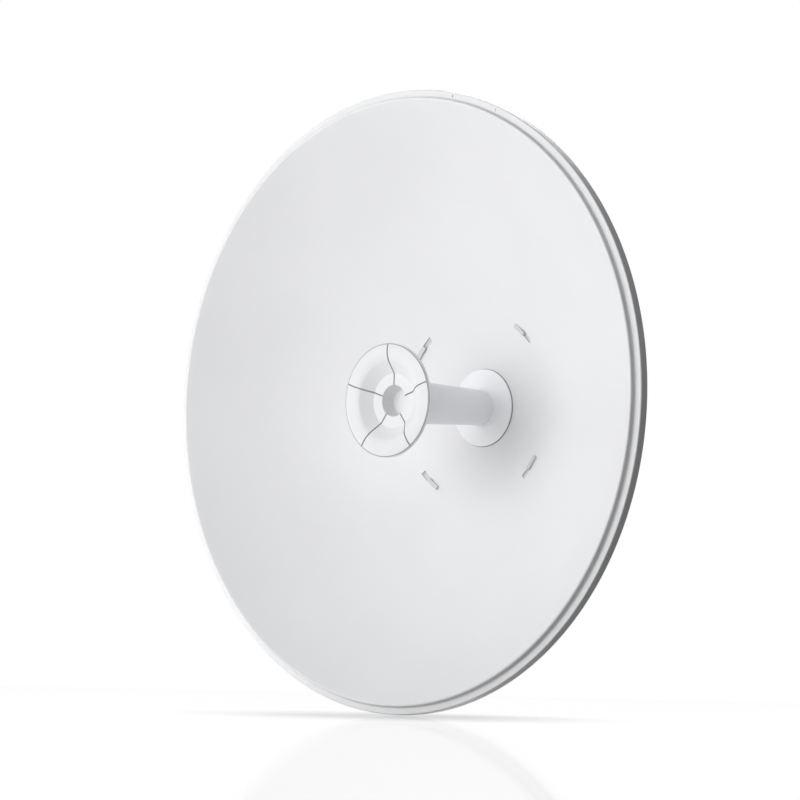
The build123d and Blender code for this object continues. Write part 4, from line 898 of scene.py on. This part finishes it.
pitted, pitted_in, pitted_out = new_group("cast_skin", point_and_scales, ["Relief", "Tone"])
pits = texture(pitted, "ShaderNodeTexVoronoi", pitted_in, "Fine Scale")
pits.feature = "SMOOTH_F1"
pitted.links.new(ramp(pitted, pits.outputs["Distance"], 0.0, 0.5), pitted_out.inputs["Relief"])
pitted.links.new(noise(pitted, pitted_in, "Broad Scale", 5, 0.6), pitted_out.inputs["Tone"])

# %% Two dark lines across the level's vial
line_from, line_to = 3.8 * mm, 4.5 * mm
point_and_line = [
    ("Point", "NodeSocketVector", None),
    ("From", "NodeSocketFloat", line_from),
    ("To", "NodeSocketFloat", line_to),
]
marks, marks_in, marks_out = new_group("level_marks", point_and_line, ["Line"])
split = marks.nodes.new("ShaderNodeSeparateXYZ")
marks.links.new(marks_in.outputs["Point"], split.inputs[0])
sideways = operate(marks, "ABSOLUTE", split.outputs["X"])
past_start = operate(marks, "GREATER_THAN", sideways, marks_in.outputs["From"])
short_of_end = operate(marks, "LESS_THAN", sideways, marks_in.outputs["To"])
marks.links.new(operate(marks, "MULTIPLY", past_start, short_of_end), marks_out.inputs["Line"])
print("groups:", [g.name for g in bpy.data.node_groups])

# %% [markdown]
# ## Finishes
# One function writes a finish: a group gives relief and tone, tone moves the colour
# and the roughness a little, and relief feeds a Bump node. What differs is in the
# table: two colours, two roughnesses, metal or not, and how coarse the relief is.
# Dark lines are one colour mixed in: painted shade in the cap's channels and along its outer edge, and
# printed lines on the level's vial.

# %% A finish from two colours and a group
def mixed(tree, share, first, second):
    """A colour that goes from the first to the second with share; each is a socket or three numbers."""
    node = tree.nodes.new("ShaderNodeMix")
    node.data_type = "RGBA"
    tree.links.new(share, node.inputs[0])
    for socket, colour in ((node.inputs[6], first), (node.inputs[7], second)):
        if isinstance(colour, tuple):
            socket.default_value = (*colour, 1)
        else:
            tree.links.new(colour, socket)
    return node.outputs[2]


def finish(name, group, dark, light, rough, relief, fine=900.0, broad=9.0, metal=0.0, lines=None, **settings):
    """A Principled material whose colour and roughness drift with tone and whose normal follows relief.

    Where lines is a colour, the piece's own attribute of painted shade (0 to 1) blends the colour towards it.
    """
    material = bpy.data.materials.new(name)
    material.use_nodes = True
    tree = material.node_tree
    shader = tree.nodes["Principled BSDF"]
    where = tree.nodes.new("ShaderNodeTexCoord")
    surface = tree.nodes.new("ShaderNodeGroup")
    surface.node_tree = group
    surface.inputs["Fine Scale"].default_value = fine
    surface.inputs["Broad Scale"].default_value = broad
    tree.links.new(where.outputs["Object"], surface.inputs["Point"])
    colour = mixed(tree, surface.outputs["Tone"], dark, light)
    # Painted shade: the piece's attribute darkens its colour towards the given shade colour.
    if lines:
        carried = tree.nodes.new("ShaderNodeAttribute")
        carried.attribute_name = "painted_shade_line"
        colour = mixed(tree, carried.outputs["Fac"], colour, lines)
    tree.links.new(colour, shader.inputs["Base Color"])
    tree.links.new(ramp(tree, surface.outputs["Tone"], 0.0, 1.0, *rough), shader.inputs["Roughness"])
    bump = tree.nodes.new("ShaderNodeBump")
    bump.inputs["Strength"].default_value = relief
    bump.inputs["Distance"].default_value = 0.1 * mm
    tree.links.new(surface.outputs["Relief"], bump.inputs["Height"])
    tree.links.new(bump.outputs["Normal"], shader.inputs["Normal"])
    shader.inputs["Metallic"].default_value = metal
    for socket, value in settings.items():
        shader.inputs[socket.replace("_", " ")].default_value = value
    return material


# %% The table of finishes: group, dark, light, roughness, relief, and what else differs
# The cap's painted shade colour, for its grooves and its outer edge.
painted_groove_shade = dict(lines=(0.30, 0.30, 0.32))
clear = dict(broad=40.0, Transmission_Weight=0.9, IOR=1.49)
liquid = dict(broad=40.0, Transmission_Weight=0.85, IOR=1.36)
finish_table = {
    "dish_paint": (skin, (0.79, 0.79, 0.795), (0.815, 0.815, 0.82), (0.34, 0.42), 0.12, {}),
    "cap_plastic": (skin, (0.78, 0.78, 0.785), (0.81, 0.81, 0.815), (0.30, 0.38), 0.08, painted_groove_shade),
    "feed_plastic": (skin, (0.84, 0.84, 0.875), (0.88, 0.88, 0.91), (0.42, 0.52), 0.2, {}),
    # A lighter copy of the tube's plastic for the collar: painted light that offsets the shade the tube and
    # disc cast on it.
    "collar_plastic_painted_lighter": (skin, (0.93, 0.93, 0.94), (0.95, 0.95, 0.96), (0.42, 0.52), 0.2, {}),
    "hub_plastic": (skin, (0.60, 0.60, 0.625), (0.65, 0.65, 0.67), (0.45, 0.55), 0.3, {}),
    "plate_paint": (skin, (0.62, 0.62, 0.63), (0.67, 0.67, 0.675), (0.38, 0.48), 0.25, {}),
    "bracket_steel": (
        spangle, (0.46, 0.47, 0.49), (0.60, 0.61, 0.63), (0.34, 0.52), 0.2, dict(broad=130.0, metal=0.9)
    ),
    "cast_alloy": (
        pitted, (0.42, 0.43, 0.45), (0.54, 0.55, 0.57), (0.48, 0.62), 0.6,
        dict(fine=700.0, broad=30.0, metal=0.85),
    ),
    "bolt_steel": (
        skin, (0.50, 0.51, 0.53), (0.62, 0.63, 0.65), (0.34, 0.46), 0.15, dict(broad=120.0, metal=1.0)
    ),
    "bare_aluminium": (
        skin, (0.62, 0.63, 0.65), (0.70, 0.71, 0.73), (0.38, 0.48), 0.15, dict(broad=40.0, metal=0.9)
    ),
    "shield_steel": (
        skin, (0.62, 0.63, 0.64), (0.72, 0.73, 0.74), (0.25, 0.36), 0.12, dict(broad=60.0, metal=1.0)
    ),
    "black_rubber": (skin, (0.035, 0.035, 0.038), (0.05, 0.05, 0.053), (0.62, 0.78), 0.5, dict(broad=50.0)),
    "black_plastic": (skin, (0.035, 0.035, 0.04), (0.055, 0.055, 0.06), (0.42, 0.55), 0.35, dict(broad=50.0)),
    "board_green": (skin, (0.02, 0.13, 0.06), (0.03, 0.19, 0.09), (0.28, 0.38), 0.2, dict(broad=80.0)),
    "pad_grey": (skin, (0.26, 0.30, 0.34), (0.32, 0.36, 0.40), (0.7, 0.8), 0.4, dict(broad=60.0)),
    "lamp_lens": (skin, (0.62, 0.72, 0.62), (0.72, 0.80, 0.70), (0.2, 0.3), 0.1, dict(broad=60.0)),
    "level_plastic": (skin, (0.62, 0.44, 0.03), (0.72, 0.52, 0.05), (0.38, 0.48), 0.2, dict(broad=50.0)),
    "earth_brass": (
        skin, (0.60, 0.43, 0.16), (0.72, 0.54, 0.22), (0.25, 0.4), 0.2, dict(broad=90.0, metal=1.0)
    ),
    "clear_plastic": (skin, (0.86, 0.9, 0.92), (0.92, 0.95, 0.96), (0.06, 0.12), 0.05, clear),
    "vial_liquid": (skin, (0.55, 0.80, 0.12), (0.62, 0.86, 0.16), (0.03, 0.06), 0.02, liquid),
}
finishes = {name: finish(name, *row[:-1], **row[-1]) for name, row in finish_table.items()}
print("finishes:", len(finishes))


# %% Lines on the vial, and a finish for every piece
def mark_level(material, ink):
    """Lay the level's two lines over the material's own colour."""
    tree = material.node_tree
    shader = tree.nodes["Principled BSDF"]
    own_colour = shader.inputs["Base Color"].links[0].from_socket
    where = tree.nodes.new("ShaderNodeTexCoord")
    level_lines = tree.nodes.new("ShaderNodeGroup")
    level_lines.node_tree = marks
    tree.links.new(where.outputs["Object"], level_lines.inputs["Point"])
    colour = mixed(tree, level_lines.outputs["Line"], own_colour, ink)
    tree.links.new(colour, shader.inputs["Base Color"])


mark_level(finishes["vial_liquid"], (0.02, 0.02, 0.02))
for row in frame["record"]["subparts"]:
    for spot in frame["nodes"][row["node"]].material_slots:
        spot.material = finishes[row["material_slot"]]
# The collar takes the lighter copy of the tube's plastic, which paints light into it.
for piece, name in (
    (dish, "dish_paint"), (disc, "bare_aluminium"), (cap, "cap_plastic"), (feed_tube, "feed_plastic"),
    (feed_collar, "collar_plastic_painted_lighter"), (gasket_ring, "black_rubber"), (clamp_bolts, "bolt_steel"),
    (coil_spring, "bolt_steel"),
):
    piece.data.materials.append(finishes[name])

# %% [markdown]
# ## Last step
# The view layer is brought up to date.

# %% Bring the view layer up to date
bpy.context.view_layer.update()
